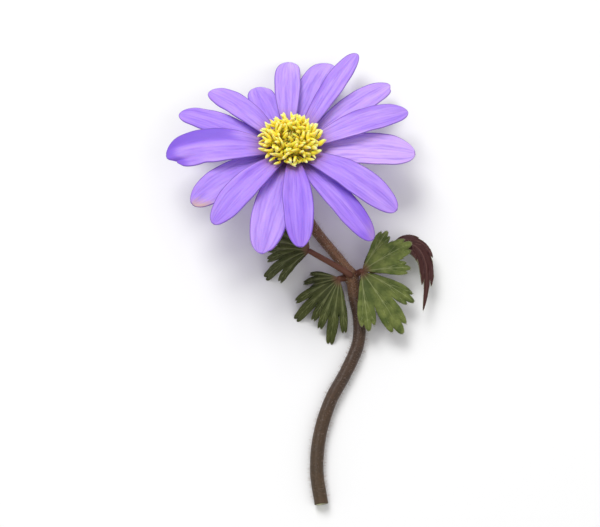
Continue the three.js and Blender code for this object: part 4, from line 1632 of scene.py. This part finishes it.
    def add_leaflet(self, maker: MeshMaker, knot: Array, leaflet: Leaflet, seed: float) -> None:
        """Adds a leaflet: a polar grid about its foot, bent along the midrib, rolled, drooped and quilted.

        The quilt is 1 - exp(-d^2) of the distance to the veins, the droop grows with the square of the
        distance aside, and the roll is a turn about the midrib that steps in softly.

        Args:
            maker: the leaf's mesh.
            knot: the end of the leaf's stalk.
            leaflet: its shape.
            seed: turns its unevenness into its own.
        """
        pulls = np.vstack([knot, LEAF_JOINT + np.array(leaflet.rib)])
        length = float(stretches(bezier(pulls, np.linspace(0, 1, 200))[0]).sum())
        angles, shares = self.edge(leaflet)
        row, turn = np.linspace(0, 1, self.rows)[:, None] ** 0.85, np.radians(angles)
        distance = lerp(self.foot, length * shares, row)
        along, aside = distance * np.cos(turn), distance * np.sin(turn)
        place, forward = bezier(pulls, along / length)
        left = unit(np.stack([-forward[..., 1], forward[..., 0], 0 * forward[..., 0]], -1))
        up = np.cross(forward, left)
        roll = (math.radians(leaflet.roll) * smooth(along / length, *leaflet.rolls_in))[..., None]
        wide, tall = np.cos(roll) * left + np.sin(roll) * up, -np.sin(roll) * left + np.cos(roll) * up
        veins, out = self.vein_distance(leaflet, length, along, aside), distance / length
        quilt = self.quilt * (1 - np.exp(-((veins / self.quilt_width) ** 2))) * smooth(distance, 0.8, 2.5)
        wave = self.wave * hum(0.9 * along + 1.1 * aside, seed) * smooth(out, 0.3, 0.9)
        curl = -self.curl * smooth(row, 0.88, 1.0) * smooth(out, 0.4, 0.8)
        height = quilt + wave + curl - self.droop * aside**2 - 0.05
        grid = place + wide * aside[..., None] + tall * height[..., None]
        edge = (1 - row) * length * shares
        maker.add_blade(
            grid, lerp(self.rim_thickness, self.thickness, smooth(edge, 0, 0.6)), vein=veins, edge=edge,
            ruddy=(1 - smooth(distance, 0.7, 2.6)) * 0.9, shade=leaflet.shade)
        self.add_fringe(maker, grid, seed)

    def add_fringe(self, maker: MeshMaker, grid: Array, seed: float) -> None:
        """Adds fine pale hairs along a leaflet's outer edge, about as its rows run there.

        Args:
            maker: the leaf's mesh.
            grid: the leaflet's middle surface.
            seed: of the hairs' scatter.
        """
        rng = np.random.default_rng(int(seed * 10) + 40)
        count = grid.shape[1] * 2
        column = rng.integers(2, grid.shape[1] - 2, count)
        root = grid[-1, column]
        lean = unit(root - grid[-4, column]) + rng.normal(0, 0.35, (count, 3))
        length = rng.uniform(*self.fringe_lengths, count)
        tip = root + unit(lean) * length[:, None]
        free = (tip[:, 2] > 0.1) & (root[:, 2] > 0.1) & (tip[:, 0] < self.fringe_limit)
        sizes = (self.fringe_radius, self.fringe_radius, length[free])
        points, faces = swarm(HAIR, root[free], lean[free], sizes, length[free])
        maker.add(points, faces, edge=0.0)

    def add_stalk(self, maker: MeshMaker, leaf: Leaf, knot: Array) -> None:
        """Adds the leaf's stalk: a tube on a quadratic Bezier curve from the stem, rounded off at the knot.

        Args:
            maker: the leaf's mesh.
            leaf: its shape.
            knot: the end of its stalk.
        """
        side = math.radians(leaf.side)
        outwards = around(STEM_HEADING + 90, math.cos(side), math.sin(side))
        root = LEAF_JOINT + outwards * self.stalk_root
        t = np.linspace(0, 1, 26)
        line, tangent = bezier(np.array([root, root + outwards * 1.75, knot]), t)
        end = line[-1] + tangent[-1] * 0.5 * np.array([[0.35], [0.7], [1.0]])
        along = lerp(self.stalk_radius + 0.12, self.stalk_radius, t)
        radii = np.concatenate([along, self.stalk_radius * np.array([0.9, 0.6, 0.2])])
        points, faces = tube_shell(np.vstack([line, end]), radii, 18, reference=np.array([0.05, 0.1, 1.0]))
        points[:, 2] = np.maximum(points[:, 2], SURFACE_GAP)
        maker.add(points, faces, ruddy=1.0, vein=9.0, edge=9.0)

    def build(self, material: Material) -> None:
        """Makes the three leaves.

        Args:
            material: their finish.
        """
        for number, leaf in enumerate(LEAVES):
            maker = MeshMaker(f"bract_{leaf.name}")
            knot = LEAF_JOINT + np.array(leaf.knot)
            for place, leaflet in enumerate(leaf.leaflets):
                seed = self.leaf_seed * number + self.leaflet_seed * place + 1
                self.add_leaflet(maker, knot, leaflet, seed)
            self.add_stalk(maker, leaf, knot)
            maker.make(f"leaf_{leaf.name}", "leaf", material)


# ---- The studio ---------------------------------------------------------------------------------------


@dataclass(frozen=True)
class Lamp:
    """A soft square lamp that faces the flower: its place and side in metres, and its power in watts."""

    name: str
    place: Triple
    size: float
    power: float


@dataclass
class Studio:
    """The plain surface, the soft lights and the camera.

    Attributes:
        floor_rings, floor_sides: of the surface, from its innermost ring to its rim, in metres.
        floor_drop: how far it lies below the flower, in metres.
        floor_tints: between which its colour varies.
        lamps: the soft lights.
        sky: the strength of the white light from all round.
        elevation: the camera's, above the surface, in degrees.
        lens, sensor: its focal length and width, in millimetres.
        distance: from the point that it looks at, in metres.
        aim: that point, in metres.
    """

    floor_rings: tuple[float, float, int] = (0.02, 2.0, 12)
    floor_sides: int = 96
    floor_drop: float = 0.00005
    floor_tints: tuple[Colour, Colour] = ((0.86, 0.86, 0.86), (0.89, 0.89, 0.89))
    lamps: tuple[Lamp, ...] = (
        Lamp("key", (-0.25, 0.55, 0.75), 0.5, 6.5),
        Lamp("fill", (0.5, -0.35, 0.7), 0.7, 1.6),
    )
    sky: float = 0.55
    elevation: float = 75.0
    lens: float = 100.0
    sensor: float = 36.0
    distance: float = 0.335
    aim: Triple = (0.0, 0.0015, 0.004)

    def surface(self) -> None:
        """Makes the pale floor: a flat disc of rings of quads, with a fan of triangles in its middle."""
        material, sheet, shader = new_material("pale_surface", Roughness=0.9)
        first, second = self.floor_tints
        tint = sheet.layers(first, (sheet.noise(sheet.place(), 6.0, 2.0), second))
        sheet.feed(shader.inputs["Base Color"], tint)
        sides = self.floor_sides
        radius = np.linspace(*self.floor_rings)[:, None]
        rings = around(np.degrees(circle(sides)), radius, -self.floor_drop).reshape(-1, 3)
        fan = [(len(rings), side, (side + 1) % sides) for side in range(sides)]
        quads = quads_between(len(radius), sides, wrap=True)
        mesh = bpy.data.meshes.new("surface")
        mesh.from_pydata([*rings.tolist(), (0, 0, -self.floor_drop)], [], [*quads.tolist(), *fan])
        mesh.materials.append(material)
        floor = bpy.data.objects.new("surface", mesh)
        bpy.context.scene.collection.objects.link(floor)

    def light(self) -> None:
        """Adds the lamps and the white world round the flower."""
        scene = bpy.context.scene
        for lamp in self.lamps:
            data = bpy.data.lights.new(lamp.name, "AREA")
            data.size, data.energy = lamp.size, lamp.power
            made = bpy.data.objects.new(lamp.name, data)
            made.location = lamp.place
            made.rotation_euler = (-Vector(lamp.place)).to_track_quat("-Z", "Y").to_euler()
            scene.collection.objects.link(made)
        scene.world = scene.world or bpy.data.worlds.new("world")
        scene.world.use_nodes = True
        background = scene.world.node_tree.nodes["Background"]
        background.inputs["Color"].default_value = (1.0, 1.0, 1.0, 1.0)
        background.inputs["Strength"].default_value = self.sky

    def look(self) -> None:
        """Adds the camera, set back from its aim along a line at its elevation."""
        scene = bpy.context.scene
        scene.view_settings.view_transform = "Standard"
        data = bpy.data.cameras.new("camera")
        data.lens, data.sensor_width, data.clip_start, data.clip_end = self.lens, self.sensor, 0.01, 20.0
        camera = bpy.data.objects.new("camera", data)
        tilt = math.radians(self.elevation)
        back = Vector((0, -math.cos(tilt), math.sin(tilt)))
        camera.location = Vector(self.aim) + back * self.distance
        camera.rotation_euler = (-back).to_track_quat("-Z", "Y").to_euler()
        scene.collection.objects.link(camera)
        scene.camera = camera

    def build(self) -> None:
        """Sets up surface, lights and camera."""
        self.surface()
        self.light()
        self.look()


def main() -> None:
    """Builds the flower in order: petals, boss, stem, leaves, and then the studio."""
    logging.basicConfig(level=logging.INFO, format="%(name)s: %(message)s")
    groups = Groups()
    Corolla().build(PetalFinish().material(groups))
    boss = Boss()
    boss.stamens(POLLEN.material(groups))
    boss.seed_vessels(VESSEL_SKIN.material(groups))
    Stem().build(StemFinish().material(groups))
    Foliage().build(LeafFinish().material(groups))
    Studio().build()


if __name__ == "__main__":
    main()
